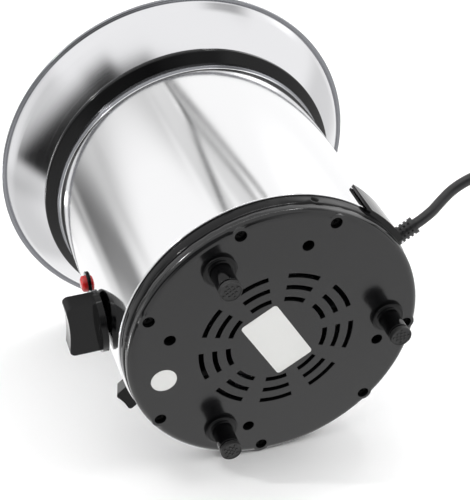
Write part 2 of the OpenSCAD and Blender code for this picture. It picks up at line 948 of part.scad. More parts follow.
module gear_case() {
    color("whitesmoke")
        translate([0, 0, case_z])
            difference() {
                linear_extrude(height = case_h)
                    case_outline(case_room + case_wall);
                translate([0, 0, case_wall])
                    linear_extrude(height = case_h)
                        case_outline(case_room);
                translate([0, 0, -over])
                    cylinder(r = spindle_low_r + run_gap, h = case_wall + 2 * over);
                translate([rotor_at[0], rotor_at[1], -over])
                    cylinder(r = motor_bush_r + 2 * seat_gap, h = case_wall + 2 * over);
            }
}

module gear_case_lid() {
    color("whitesmoke")
        translate([0, 0, lid_z])
            difference() {
                linear_extrude(height = case_wall)
                    case_outline(case_room + case_wall);
                translate([0, 0, -over])
                    cylinder(r = bush_r + seat_gap, h = case_wall + 2 * over);
            }
}

module spindle_bush() {
    color("peru")
        translate([0, 0, lid_z - stage_gap / 2])
            tube(bush_r, spindle_low_r + run_gap, bush_h);
}

module shaft_seal() {
    color("firebrick")
        translate([0, 0, bowl_z + neck_h - seal_h])
            tube(neck_r - bowl_wall - seat_gap, spindle_low_r + run_gap, seal_h);
}

module drive_spindle() {
    bottom = case_z + seat_gap;
    cross_z = bowl_z + neck_h + drive_pin_up;
    color("gainsboro")
        difference() {
            union() {
                translate([0, 0, bottom])
                    cylinder(r = spindle_low_r, h = shoulder_z - bottom);
                translate([0, 0, bottom])
                    cylinder(r = spindle_r, h = spindle_top_z - bottom);
            }
            translate([0, drive_pin_l / 2, cross_z])
                rotate([quarter, 0, 0])
                    cylinder(r = drive_pin_r + seat_gap, h = drive_pin_l);
        }
}

module drive_pin() {
    color("gainsboro")
        translate([0, drive_pin_l / 2, bowl_z + neck_h + drive_pin_up])
            rotate([quarter, 0, 0])
                cylinder(r = drive_pin_r, h = drive_pin_l);
}

module output_wheel() {
    color("ivory")
        translate([0, 0, high_gear_z])
            difference() {
                rotate([0, 0, idler_deg])
                    gear(coarse_module, output_teeth, high_gear_h);
                translate([0, 0, -over])
                    cylinder(r = spindle_low_r + seat_gap, h = high_gear_h + 2 * over);
            }
}

module idler_gear() {
    color("ivory")
        translate(idler_at)
            difference() {
                union() {
                    translate([0, 0, low_gear_z])
                        rotate([0, 0, idler_to_rotor_deg])
                            gear(fine_module, wheel_teeth, low_gear_h);
                    translate([0, 0, low_gear_z + low_gear_h])
                        rotate([0, 0, idler_deg + full_turn / 2 + full_turn / (2 * pinion_teeth)])
                            gear(coarse_module, pinion_teeth, high_gear_h + stage_gap);
                }
                translate([0, 0, low_gear_z - over])
                    cylinder(r = idler_pin_r + run_gap, h = case_h);
            }
}

module idler_pin() {
    color("silver")
        translate([idler_at[0], idler_at[1], case_z + case_wall])
            cylinder(r = idler_pin_r, h = lid_z - case_z - case_wall);
}

module motor_pinion() {
    color("peru")
        translate([rotor_at[0], rotor_at[1], low_gear_z])
            difference() {
                rotate([0, 0, idler_to_rotor_deg + full_turn / 2 + full_turn / (2 * pinion_teeth)])
                    gear(fine_module, pinion_teeth, low_gear_h);
                translate([0, 0, -over])
                    cylinder(r = rotor_shaft_r + seat_gap / 2, h = low_gear_h + 2 * over);
            }
}

// Motor: children are drawn round the rotor's axis, with +Y towards the far side of the body
module at_motor(z) {
    translate([rotor_at[0], rotor_at[1], z])
        rotate([0, 0, rotor_deg + quarter])
            children();
}

module rotor() {
    color("slategray")
        at_motor(stack_z)
            tube(rotor_r, rotor_shaft_r + seat_gap / 2, stack_h);
}

module rotor_shaft() {
    bottom = stack_z - bracket_away - bracket_t - fan_drop - fan_h;
    color("gainsboro")
        at_motor(bottom)
            cylinder(r = rotor_shaft_r, h = low_gear_z + low_gear_h - bottom);
}

module cooling_fan() {
    color("#303030")
        at_motor(stack_z - bracket_away - bracket_t - fan_drop - fan_h)
            difference() {
                union() {
                    cylinder(r = fan_hub_r, h = fan_h);
                    for (i = [0:fan_blades - 1])
                        rotate([0, 0, i * full_turn / fan_blades])
                            translate([fan_hub_r - over, 0, fan_h / 2])
                                rotate([fan_blade_turn, 0, 0])
                                    translate([0, -fan_blade_t / 2, -fan_h / 2])
                                        cube([fan_r - fan_hub_r, fan_blade_t, fan_h]);
                }
                translate([0, 0, -over])
                    cylinder(r = rotor_shaft_r + seat_gap / 2, h = fan_h + 2 * over);
            }
}

module stator_stack() {
    color("dimgray")
        at_motor(stack_z)
            difference() {
                translate([-stack_w / 2, -stack_near, 0])
                    cube([stack_w, stack_near + stack_far, stack_h]);
                translate([0, 0, -over])
                    cylinder(r = rotor_r + rotor_gap, h = stack_h + 2 * over);
                translate([-window_w / 2, window_from, -over])
                    cube([window_w, window_to - window_from, stack_h + 2 * over]);
            }
}

module motor_coil() {
    limb = stack_far - window_to;
    gap = 2 * seat_gap;
    length = window_w - 2 * gap;
    color("chocolate")
        at_motor(stack_z)
            translate([-length / 2, window_to, 0])
                difference() {
                    translate([0, -coil_t, -coil_t])
                        cube([length, limb + 2 * coil_t, stack_h + 2 * coil_t]);
                    translate([-over, -gap, -gap])
                        cube([length + 2 * over, limb + 2 * gap, stack_h + 2 * gap]);
                }
}

module motor_bracket() {
    difference() {
        union() {
            translate([-bracket_l / 2, -bracket_w / 2, bracket_away])
                cube([bracket_l, bracket_w, bracket_t]);
            for (side = [-1, 1])
                translate([side * bracket_leg_at, 0, 0])
                    cylinder(r = bracket_leg_r, h = bracket_away);
        }
        translate([0, 0, -over])
            cylinder(r = motor_bush_r + seat_gap, h = bracket_away + bracket_t + 2 * over);
    }
}

module motor_brackets() {
    spacer = stack_drop - bracket_away - bracket_t;
    color("silver") {
        at_motor(stack_z + stack_h) {
            motor_bracket();
            for (side = [-1, 1])
                translate([side * bracket_leg_at, 0, bracket_away + bracket_t])
                    cylinder(r = bracket_leg_r, h = spacer);
        }
        at_motor(stack_z)
            mirror([0, 0, 1])
                motor_bracket();
    }
}

module motor_bushes() {
    color("peru")
        for (z = [stack_z + stack_h + bracket_away + bracket_t - motor_bush_h,
            stack_z - bracket_away - bracket_t])
            at_motor(z)
                tube(motor_bush_r, rotor_shaft_r + run_gap, motor_bush_h);
}

// Controls

// A switch box behind the body's wall, with a threaded bush that comes out through the wall
module switch_body(width, length, z, bush, out_r) {
    inner_r = body_r(z) - switch_wall_gap;
    difference() {
        union() {
            translate([-width / 2, -width / 2, inner_r - length])
                cube([width, width, length]);
            translate([0, 0, inner_r])
                cylinder(r = bush, h = out_r - inner_r);
        }
        translate([0, 0, inner_r - length / 2])
            cylinder(r = bush - over, h = length + out_r);
    }
}

module switch_nut(r, bush, z) {
    translate([0, 0, body_r(z) + seat_gap])
        difference() {
            hexagon(r, switch_nut_h);
            translate([0, 0, -over])
                cylinder(r = bush + seat_gap, h = switch_nut_h + 2 * over);
        }
}

module heat_switch() {
    color("beige")
        radial(heat_deg, heat_z)
            switch_body(switch_w, switch_l, heat_z, switch_bush_r,
                heat_back_r + knob_recess_h - 2 * seat_gap);
}

module switch_nuts() {
    color("silver") {
        radial(heat_deg, heat_z)
            switch_nut(switch_nut_r, switch_bush_r, heat_z);
        radial(motor_knob_deg, motor_knob_z)
            switch_nut(motor_nut_r, motor_bush_out_r, motor_knob_z);
    }
}

module heat_shaft() {
    from_r = body_r(heat_z) - switch_wall_gap - switch_l / 2 + seat_gap;
    color("gainsboro")
        radial(heat_deg, heat_z)
            translate([0, 0, from_r])
                cylinder(r = shaft_r, h = heat_back_r + shaft_in_knob - from_r);
}

// Side view of a bar grip: rounded outer corners and a slightly hollow outer edge
module grip_profile(length, height, round_r, waist) {
    half = length / 2 - round_r;
    difference() {
        union() {
            translate([-length / 2, 0])
                square([length, height - round_r]);
            translate([-half, 0])
                square([2 * half, height]);
            for (side = [-1, 1])
                translate([side * half, height - round_r])
                    circle(r = round_r);
        }
        translate([0, height - waist + (pow(half, 2) + pow(waist, 2)) / (2 * waist)])
            circle(r = (pow(half, 2) + pow(waist, 2)) / (2 * waist), $fn = 4 * $fn);
    }
}

module heat_knob() {
    color("#161618")
        radial(heat_deg, heat_z)
            translate([0, 0, heat_back_r])
                difference() {
                    union() {
                        cylinder(r = heat_skirt_r, h = heat_skirt_t);
                        translate([heat_grip_t / 2, 0, heat_skirt_t - grip_root])
                            rotate([quarter, 0, -quarter])
                                linear_extrude(height = heat_grip_t)
                                    grip_profile(heat_grip_l, heat_grip_h + grip_root, grip_round_r,
                                        grip_waist);
                    }
                    translate([0, 0, -over])
                        cylinder(r = knob_recess_r, h = knob_recess_h + over);
                    translate([0, 0, -over])
                        cylinder(r = shaft_r + run_gap, h = shaft_in_knob + over + seat_gap);
                }
}

module motor_switch() {
    color("beige")
        radial(motor_knob_deg, motor_knob_z)
            switch_body(motor_switch_w, motor_switch_l, motor_knob_z, motor_bush_out_r,
                motor_back_r + motor_recess_h - 2 * seat_gap);
}

module motor_knob_shaft() {
    from_r = body_r(motor_knob_z) - switch_wall_gap - motor_switch_l / 2 + seat_gap;
    color("gainsboro")
        radial(motor_knob_deg, motor_knob_z)
            translate([0, 0, from_r])
                cylinder(r = motor_shaft_r, h = motor_back_r + motor_grip_h - from_r);
}

module motor_knob() {
    color("#161618")
        radial(motor_knob_deg, motor_knob_z)
            translate([0, 0, motor_back_r])
                difference() {
                    union() {
                        cylinder(r = motor_skirt_r, h = motor_skirt_t);
                        rotate([0, 0, motor_grip_turn])
                            translate([motor_grip_l / 2, 0, motor_skirt_t - grip_root])
                                rotate([quarter, 0, -quarter])
                                    linear_extrude(height = motor_grip_l)
                                        grip_profile(motor_grip_t, motor_grip_h + grip_root,
                                            motor_grip_round_r, grip_waist / 2);
                    }
                    translate([0, 0, -over])
                        cylinder(r = motor_nut_r + run_gap, h = motor_recess_h + over);
                    translate([0, 0, -over])
                        cylinder(r = motor_shaft_r + run_gap, h = motor_grip_h + over + seat_gap);
                }
}

module lamp_bezel() {
    face_r = body_r(lamp_z) + seat_gap;
    color("#161618")
        radial(heat_deg, lamp_z)
            difference() {
                union() {
                    translate([0, 0, face_r])
                        cylinder(r = bezel_r + bezel_t, h = bezel_t);
                    translate([0, 0, face_r - lamp_neck_l])
                        cylinder(r = bezel_neck_r, h = lamp_neck_l);
                }
                translate([0, 0, face_r - lamp_neck_l - over])
                    cylinder(r = lens_r + seat_gap, h = lamp_neck_l + 2 * over);
            }
}

module lamp_lens() {
    face_r = body_r(lamp_z) + seat_gap + bezel_t;
    edge = lens_out / 2;
    color("red")
        radial(heat_deg, lamp_z)
            rotate_extrude()
                polygon(concat(
                    [[0, face_r - lamp_neck_l + bezel_t], [lens_r, face_r - lamp_neck_l + bezel_t]],
                    arc([lens_r - edge, face_r + lens_out - edge], edge, 0, quarter, flank_steps),
                    [[0, face_r + lens_out]]));
}

module lamp_holder() {
    face_r = body_r(lamp_z) + seat_gap;
    color("ivory")
        radial(heat_deg, lamp_z)
            translate([0, 0, face_r - lamp_neck_l - lamp_can_l])
                cylinder(r = lamp_can_r, h = lamp_can_l);
}

// Labels

module rating_label() {
    half = [label_l / 2 - label_round_r, label_w / 2 - label_round_r];
    color("white")
        rotate([0, 0, label_deg])
            translate([0, 0, plate_z - label_t])
                union() {
                    translate([-half[0], -label_w / 2, 0])
                        cube([2 * half[0], label_w, label_t]);
                    translate([-label_l / 2, -half[1], 0])
                        cube([label_l, 2 * half[1], label_t]);
                    for (x = [-1, 1], y = [-1, 1])
                        translate([x * half[0], y * half[1], 0])
                            cylinder(r = label_round_r, h = label_t);
                }
}

module round_sticker() {
    color("white")
        at_polar(sticker_circle_r, sticker_deg, plate_z - label_t)
            cylinder(r = sticker_r, h = label_t);
}

// Cord outlet and connection

module cord_gland() {
    wall_in = cover_r - base_wall;
    ribs_from = ring_r + seat_gap;
    step = (gland_tip_r - gland_collar_t - ribs_from) / gland_ribs;
    color("#202020")
        radial(cord_deg, cord_z) {
            translate([0, 0, ribs_from]) {
                cylinder(r = gland_core_r, h = gland_tip_r - ribs_from);
                for (i = [0:gland_ribs - 1])
                    translate([0, 0, i * step])
                        cylinder(r = gland_rib_r, h = gland_rib_t);
                for (deg = [0:quarter:full_turn - quarter])
                    rotate([0, 0, deg])
                        translate([0, -gland_spine_w / 2, 0])
                            cube([gland_rib_r, gland_spine_w, gland_tip_r - ribs_from - over]);
            }
            translate([0, 0, gland_tip_r - gland_collar_t])
                cylinder(r = gland_rib_r, h = gland_collar_t);
            translate([0, 0, wall_in - seat_gap])
                cylinder(r = gland_neck_r, h = ribs_from + seat_gap - wall_in);
            translate([0, 0, wall_in - seat_gap - gland_flange_t])
                cylinder(r = gland_flange_r, h = gland_flange_t);
        }
}

module inner_cord() {
    to_r = cover_r - base_wall - seat_gap - gland_flange_t;
    color("#202020")
        radial(cord_deg, cord_z)
            translate([0, 0, inner_cord_to_r])
                cylinder(d = cord_d, h = to_r - inner_cord_to_r);
}

module cord_clamp() {
    floor_z = plate_z + cover_floor;
    color("whitesmoke")
        at_polar(clamp_r, cord_deg, floor_z)
            translate([-clamp_l / 2, -clamp_w / 2, 0])
                difference() {
                    cube([clamp_l, clamp_w, cord_z + clamp_h - floor_z]);
                    translate([-over, clamp_w / 2, cord_z - floor_z])
                        rotate([0, quarter, 0])
                            cylinder(r = cord_d / 2 + clamp_gap, h = clamp_l + 2 * over);
                }
}

module terminal_block() {
    color("white")
        at_polar(terminal_r, cord_deg, plate_z + cover_floor)
            difference() {
                translate([-terminal_w / 2, -terminal_l / 2, 0])
                    cube([terminal_w, terminal_l, cord_z + terminal_h / 2 - plate_z - cover_floor]);
                for (i = [0:terminal_bores - 1])
                    translate([-terminal_w, (i - (terminal_bores - 1) / 2) * terminal_pitch,
                        cord_z - plate_z - cover_floor])
                        rotate([0, quarter, 0])
                            cylinder(r = terminal_bore_r, h = 2 * terminal_w);
            }
}

// Mains lead

function unit(v) = v / norm(v);
// Closed tube round a row of points, with flat ends
module sweep(points, r, sides) {
    last = len(points) - 1;
    rings = [for (i = [0:last]) let (
        ahead = unit(points[min(i + 1, last)] - points[max(i - 1, 0)]),
        side = unit(cross([0, 0, 1], ahead)),
        up = cross(ahead, side))
        each [for (k = [0:sides - 1]) let (a = k * full_turn / sides - quarter)
            points[i] + r * (cos(a) * side + sin(a) * up)]];
    walls = [for (i = [0:last - 1], k = [0:sides - 1]) let (
        a = i * sides + k,
        b = i * sides + (k + 1) % sides)
        each [[a, b, b + sides], [a, b + sides, a + sides]]];
    caps = [for (k = [1:sides - 2]) each [[0, k + 1, k],
        [last * sides, last * sides + k, last * sides + k + 1]]];
    polyhedron(points = rings, faces = [for (f = concat(walls, caps)) reversed(f)]);
}

function along_outlet(p) = [p[0] * cos(cord_deg), p[0] * sin(cord_deg), p[1]];

module power_cord() {
    color("#222222")
        sweep([for (p = cord_route) along_outlet(p)], cord_d / 2, cord_sides);
}

// The coil spirals in on the table, climbs a layer in the half turn where it reverses, and spirals out again
coil_steps = coil_turns * coil_rings_per_turn;
function smooth(t) = let (x = max(0, min(1, t))) x * x * (3 - 2 * x);
function coil_radius(turn) = coil_r - coil_pitch * (coil_layer_turns - abs(turn - coil_layer_turns));
function coil_level(turn) = coil_z + coil_pitch * smooth((turn - coil_layer_turns) * 2 + 1 / 2);
function coil_point(turn) =
    let (r = coil_radius(turn), a = turn * full_turn - quarter)
    [coil_start + cord_d + r * cos(a), coil_r + r * sin(a), coil_level(turn)];
tail_from = coil_point(coil_turns);
// The last stretch leaves the upper layer and comes down to the plug
coil_tail = [for (i = [1:tail_rings])
    let (t = i / tail_rings, down = (t - tail_level_share) / tail_down_share)
    tail_from + [coil_tail_l * t, 0, (plug_z - tail_from[2]) * smooth(down)]];
coil_path = concat(
    [[coil_start, 0, coil_z]],
    [for (i = [0:coil_steps]) coil_point(i / coil_rings_per_turn)],
    coil_tail);
coil_gaps = [for (i = [0:coil_steps - 1], j = [i + coil_rings_per_turn / 2:coil_steps])
    norm(coil_path[i + 1] - coil_path[j + 1]) - cord_d];
coil_length = norm_sum(coil_path, 0, 0);
function norm_sum(list, i, total) =
    i >= len(list) - 1 ? total : norm_sum(list, i + 1, total + norm(list[i + 1] - list[i]));
echo(least_gap = min(coil_gaps), coil_length = coil_length,
    free_length = norm_sum([for (p = cord_route) along_outlet(p)], 0, 0));

module cord_coil() {
    color("#222222")
        rotate([0, 0, cord_deg])
            sweep(coil_path, cord_d / 2, coil_sides);
}

module mains_plug() {
    from = tail_from[0] + coil_tail_l;
    half = plug_w / 2 - plug_round_r;
    color("#222222")
        rotate([0, 0, cord_deg])
            translate([from, tail_from[1], plug_z])
                rotate([0, quarter, 0]) {
                    cylinder(r1 = cord_d / 2 + over, r2 = plug_boot_r, h = plug_boot_l);
                    translate([0, 0, plug_boot_l]) {
                        linear_extrude(height = plug_l) {
                            square([plug_t, 2 * half], center = true);
                            square([plug_t - 2 * plug_round_r, plug_w], center = true);
                            for (x = [-1, 1], y = [-1, 1])
                                translate([x * (plug_t / 2 - plug_round_r), y * half])
                                    circle(r = plug_round_r);
                        }
                        for (side = [-1, 1])
                            translate([0, side * pin_pitch / 2, plug_l])
                                cylinder(r = pin_r, h = pin_l);
                    }
                }
}

bowl();
tower_studs();
stud_nuts();
collar();
body_sleeve();
base_ring();
base_cover();
cover_screws();
post_screws();
side_screws();
foot_stem(foot_from_deg);  // foot_stem_1
foot_stem(foot_from_deg + full_turn / feet);  // foot_stem_2
foot_stem(foot_from_deg + 2 * full_turn / feet);  // foot_stem_3
foot_pad(foot_from_deg);  // foot_pad_1
foot_pad(foot_from_deg + full_turn / feet);  // foot_pad_2
foot_pad(foot_from_deg + 2 * full_turn / feet);  // foot_pad_3
heater_plate();
heater_element();
thermostat();
thermal_fuse();
lower_posts();
upper_posts();
motor_plate();
gear_case();
gear_case_lid();
spindle_bush();
shaft_seal();
drive_spindle();
drive_pin();
output_wheel();
idler_gear();
idler_pin();
motor_pinion();
rotor();
rotor_shaft();
cooling_fan();
stator_stack();
motor_coil();
motor_brackets();
motor_bushes();
heat_switch();
switch_nuts();
heat_shaft();
heat_knob();
motor_switch();
motor_knob_shaft();
motor_knob();
lamp_bezel();
lamp_lens();
lamp_holder();
rating_label();
round_sticker();
cord_gland();
inner_cord();
cord_clamp();
terminal_block();
power_cord();
cord_coil();
mains_plug();
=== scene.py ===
"""Looks of a table chocolate fountain's base unit, seen from below as it lies on its side.

Every length is written in millimetres and turned into metres where a mesh is made.
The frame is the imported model's: +Z up the bowl's axis, the feet on z = 0.
"""

from __future__ import annotations

import json
import logging
from dataclasses import dataclass
from enum import Enum
from math import asin, atan2, cos, degrees, hypot, pi, radians, sin, tan
from typing import Mapping, Sequence

import bmesh
import bpy
from bmesh.types import BMesh
from bpy.types import Material, Node, NodeSocket, NodeTree, Object
from mathutils import Matrix, Vector

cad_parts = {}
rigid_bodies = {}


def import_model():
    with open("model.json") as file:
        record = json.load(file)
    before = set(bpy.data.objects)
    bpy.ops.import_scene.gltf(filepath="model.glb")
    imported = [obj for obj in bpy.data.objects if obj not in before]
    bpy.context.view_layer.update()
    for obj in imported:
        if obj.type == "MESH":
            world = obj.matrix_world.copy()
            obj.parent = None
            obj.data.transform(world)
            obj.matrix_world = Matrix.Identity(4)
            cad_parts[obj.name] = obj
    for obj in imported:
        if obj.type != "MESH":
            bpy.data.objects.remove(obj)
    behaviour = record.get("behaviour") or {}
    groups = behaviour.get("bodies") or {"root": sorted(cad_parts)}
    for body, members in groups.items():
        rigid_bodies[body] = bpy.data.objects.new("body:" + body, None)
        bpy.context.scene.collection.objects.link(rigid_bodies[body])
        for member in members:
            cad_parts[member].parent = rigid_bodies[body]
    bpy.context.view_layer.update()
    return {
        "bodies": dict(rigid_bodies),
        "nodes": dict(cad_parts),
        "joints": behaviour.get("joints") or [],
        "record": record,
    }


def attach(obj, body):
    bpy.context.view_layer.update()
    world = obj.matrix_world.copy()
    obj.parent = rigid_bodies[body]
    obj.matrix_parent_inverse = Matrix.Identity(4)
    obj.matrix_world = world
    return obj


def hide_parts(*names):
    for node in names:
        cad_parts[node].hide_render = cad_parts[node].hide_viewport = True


LOG = logging.getLogger("fountain")
MM = 0.001
BASE = "base_unit"
FOOT_AZIMUTHS = (90.0, 210.0, 330.0)
# Edges that turn more than this are drawn sharp
SHARP_DEG = 32.0
# The values between which a noise texture nearly always lies, with three octaves and with two
NOISE_RANGE = (0.3, 0.7)
CLOUD_RANGE = (0.35, 0.65)
Point = tuple[float, float]


class Tone(Enum):
    """Colours of the finishes, as sRGB hex."""

    MIRROR_STEEL = "E9E9EA"
    BOWL_STEEL = "DCDCDE"
    PLAIN_STEEL = "B9BABC"
    BLACK_GLOSS = "0A0A0B"
    PLATE_BLACK = "111112"
    BLACK_RUBBER = "232323"
    BLACK_CORD = "1D1D1E"
    LENS_RED = "D41414"
    LABEL_WHITE = "DCDCDA"
    # Painted dark reflection on the rolled steel edges
    PAINTED_REFLECTION_STEEL = "85868A"
    # Black oxide, darkened further as painted shade in the screw wells
    SCREW_BLACK_AND_WELL_SHADE = "060606"
    ALUMINIUM = "C6C7C8"
    SHEATH = "6A675F"
    CERAMIC = "E4DDCB"
    NATURAL_PLASTIC = "E7E3D4"
    BRONZE = "A87B42"
    SILICONE = "A8392B"
    IRON = "6E6F72"
    COPPER = "A65A2E"
    SWITCH_PLASTIC = "D9D2BF"
    FLOOR = "FCFCFC"

    def linear(self) -> tuple[float, float, float, float]:
        """The colour in linear light with full alpha."""
        parts = [int(self.value[i:i + 2], 16) / 255 for i in (0, 2, 4)]
        flat = [c / 12.92 if c <= 0.04045 else ((c + 0.055) / 1.055) ** 2.4 for c in parts]
        return flat[0], flat[1], flat[2], 1.0


class NodeDesk:
    """Adds the nodes of one tree."""

    def __init__(self, tree: NodeTree) -> None:
        """Keeps the tree."""
        self.tree = tree

    def add(self, kind: str, inputs: Mapping[str | int, object] | None = None, **settings: object) -> Node:
        """Adds a node with its settings and links.

        Args:
            kind: The node's type.
            inputs: What its inputs take, as for feed().
            **settings: Attributes of the node.

        Returns:
            The new node.
        """
        node = self.tree.nodes.new(kind)
        for key, value in settings.items():
            setattr(node, key, value)
        self.feed(node, inputs or {})
        return node

    def feed(self, node: Node, inputs: Mapping[str | int, object]) -> None:
        """Sets or links a node's inputs.

        Args:
            node: The node.
            inputs: By an input's name or number, a plain value, a socket, or a node for its first output.
        """
        for key, value in inputs.items():
            source = value.outputs[0] if isinstance(value, Node) else value
            if isinstance(source, NodeSocket):
                self.tree.links.new(source, node.inputs[key])
            else:
                node.inputs[key].default_value = source


class FinishDesk(NodeDesk):
    """The nodes of one material: a Principled shader and Object coordinates."""

    def __init__(self, name: str, tone: Tone, metallic: float, roughness: float) -> None:
        """Starts the material with the shader's plain values.

        Args:
            name: The material's name.
            tone: Base colour.
            metallic: 0 for plastics, 1 for metals.
            roughness: Mean roughness.
        """
        self.material = bpy.data.materials.new(name)
        self.material.use_nodes = True
        super().__init__(self.material.node_tree)
        self.shader = next(n for n in self.tree.nodes if n.type == "BSDF_PRINCIPLED")
        self.output = next(n for n in self.tree.nodes if n.type == "OUTPUT_MATERIAL")
        self.coords = self.add("ShaderNodeTexCoord").outputs["Object"]
        self.mean = roughness
        self.feed(self.shader, {"Base Color": tone.linear(), "Metallic": metallic, "Roughness": roughness})

    def dress(self, wear: Node | None, spread: float, span: Point, relief: Node, strength: float,
              depth_mm: float) -> Material:
        """Lets one pattern vary the roughness, as wear and handling do, and another raise the surface.

        Args:
            wear: The pattern of the roughness; none leaves it even.
            spread: How far the roughness goes to either side of its mean.
            span: The wear pattern's values at the least and the most roughness.
            relief: The pattern of the surface.
            strength: How strongly the relief shows.
            depth_mm: How deep it is.

        Returns:
            The finished material.
        """
        if wear is not None:
            low, high = self.mean - spread, self.mean + spread
            rough = self.add("ShaderNodeMapRange", {0: wear, 1: span[0], 2: span[1], 3: low, 4: high})
            self.feed(self.shader, {"Roughness": rough})
        bump = self.add("ShaderNodeBump", {"Strength": strength, "Distance": depth_mm * MM, "Height": relief})
        self.feed(self.shader, {"Normal": bump})
        return self.material


def per_metre(size_mm: float) -> float:
    """A pattern's scale from the size of its features."""
    return 1 / (size_mm * MM)


@dataclass(frozen=True)
class TurnedSteel:
    """Stainless steel with fine lines that run round the axis, as rolling and spinning leave them.

    Real lines lie about 0.1 mm apart. These are four to seven times as wide, so that they show. The clouds are as
    broad as the smears that a hand leaves.
    """

    name: str
    tone: Tone
    roughness: float
    spread: float
    anisotropic: float
    line_mm: float
    outward: bool = False
    waves_around: float = 6.0
    cloud_mm: float = 41.7
    strength: float = 0.12
    depth_mm: float = 0.02

    def round_coords(self, desk: FinishDesk) -> Node:
        """Coordinates that run round the bowl's axis, up it and, on the flare, out from it.

        Args:
            desk: The material's nodes.

        Returns:
            The node whose first output is the vector.
        """
        lines, ring = per_metre(self.line_mm), self.waves_around / (2 * pi)
        kind = "ShaderNodeVectorMath"
        flat = desk.add(kind, {0: desk.coords, 1: (1, 1, 0)}, operation="MULTIPLY")
        turn = desk.add(kind, {0: flat}, operation="NORMALIZE")
        around = desk.add(kind, {0: turn, 1: (ring, ring, 0)}, operation="MULTIPLY")
        whole = desk.add(kind, {0: desk.coords, 1: (0, 0, lines), 2: around}, operation="MULTIPLY_ADD")
        if not self.outward:
            return whole
        radius = desk.add(kind, {0: flat}, operation="LENGTH").outputs["Value"]
        rise = desk.add("ShaderNodeCombineXYZ", {2: radius})
        return desk.add(kind, {0: rise, 1: (0, 0, lines), 2: whole}, operation="MULTIPLY_ADD")

    def build(self) -> Material:
        """The finish as a material."""
        desk = FinishDesk(self.name, self.tone, 1.0, self.roughness)
        desk.feed(desk.shader, {"Anisotropic": self.anisotropic})
        lines = desk.add("ShaderNodeTexNoise", {"Vector": self.round_coords(desk), "Scale": 1.0, "Detail": 3})
        clouds = desk.add("ShaderNodeTexNoise", {
            "Vector": desk.coords, "Scale": per_metre(self.cloud_mm), "Detail": 3})
        both = desk.add("ShaderNodeMix", {0: 0.5, 2: lines, 3: clouds})
        return desk.dress(both, self.spread, NOISE_RANGE, lines, self.strength, self.depth_mm)


@dataclass(frozen=True)
class Moulded:
    """Moulded plastic or rubber, with the grain of its mould and broad patches of handling.

    A real mould's grain is about 0.1 mm wide. This one is as wide as it needs to be to show.
    """

    name: str
    tone: Tone
    roughness: float
    grain_mm: float = 1.11
    strength: float = 0.03
    depth_mm: float = 0.04
    spread: float = 0.02
    specular: float = 0.5
    cloud_mm: float = 33.3
    octaves: int = 2
    clear: float = 0.0
    clear_ior: float = 1.49

    def build(self) -> Material:
        """The finish as a material."""
        desk = FinishDesk(self.name, self.tone, 0.0, self.roughness)
        desk.feed(desk.shader, {"Specular IOR Level": self.specular})
        if self.clear:
            desk.feed(desk.shader, {"Transmission Weight": self.clear, "IOR": self.clear_ior})
        sizes = (self.grain_mm, self.cloud_mm) if self.spread else (self.grain_mm,)
        grain, *clouds = (desk.add("ShaderNodeTexNoise", {
            "Vector": desk.coords, "Scale": per_metre(size), "Detail": self.octaves}) for size in sizes)
        wear = clouds[0] if clouds else None
        return desk.dress(wear, self.spread, CLOUD_RANGE, grain, self.strength, self.depth_mm)


@dataclass(frozen=True)
class Mottled:
    """Plain metal or paper, whose one faint pattern varies both its gloss and its relief.

    On metal it is as wide as a fingertip's smear.
    """

    name: str
    tone: Tone
    roughness: float
    spread: float = 0.08
    metallic: float = 1.0
    mottle_mm: float = 7.14
    strength: float = 0.04
    depth_mm: float = 0.03

    def build(self) -> Material:
        """The finish as a material."""
        desk = FinishDesk(self.name, self.tone, self.metallic, self.roughness)
        mottle = desk.add("ShaderNodeTexNoise", {
            "Vector": desk.coords, "Scale": per_metre(self.mottle_mm), "Detail": 3})
        return desk.dress(mottle, self.spread, NOISE_RANGE, mottle, self.strength, self.depth_mm)


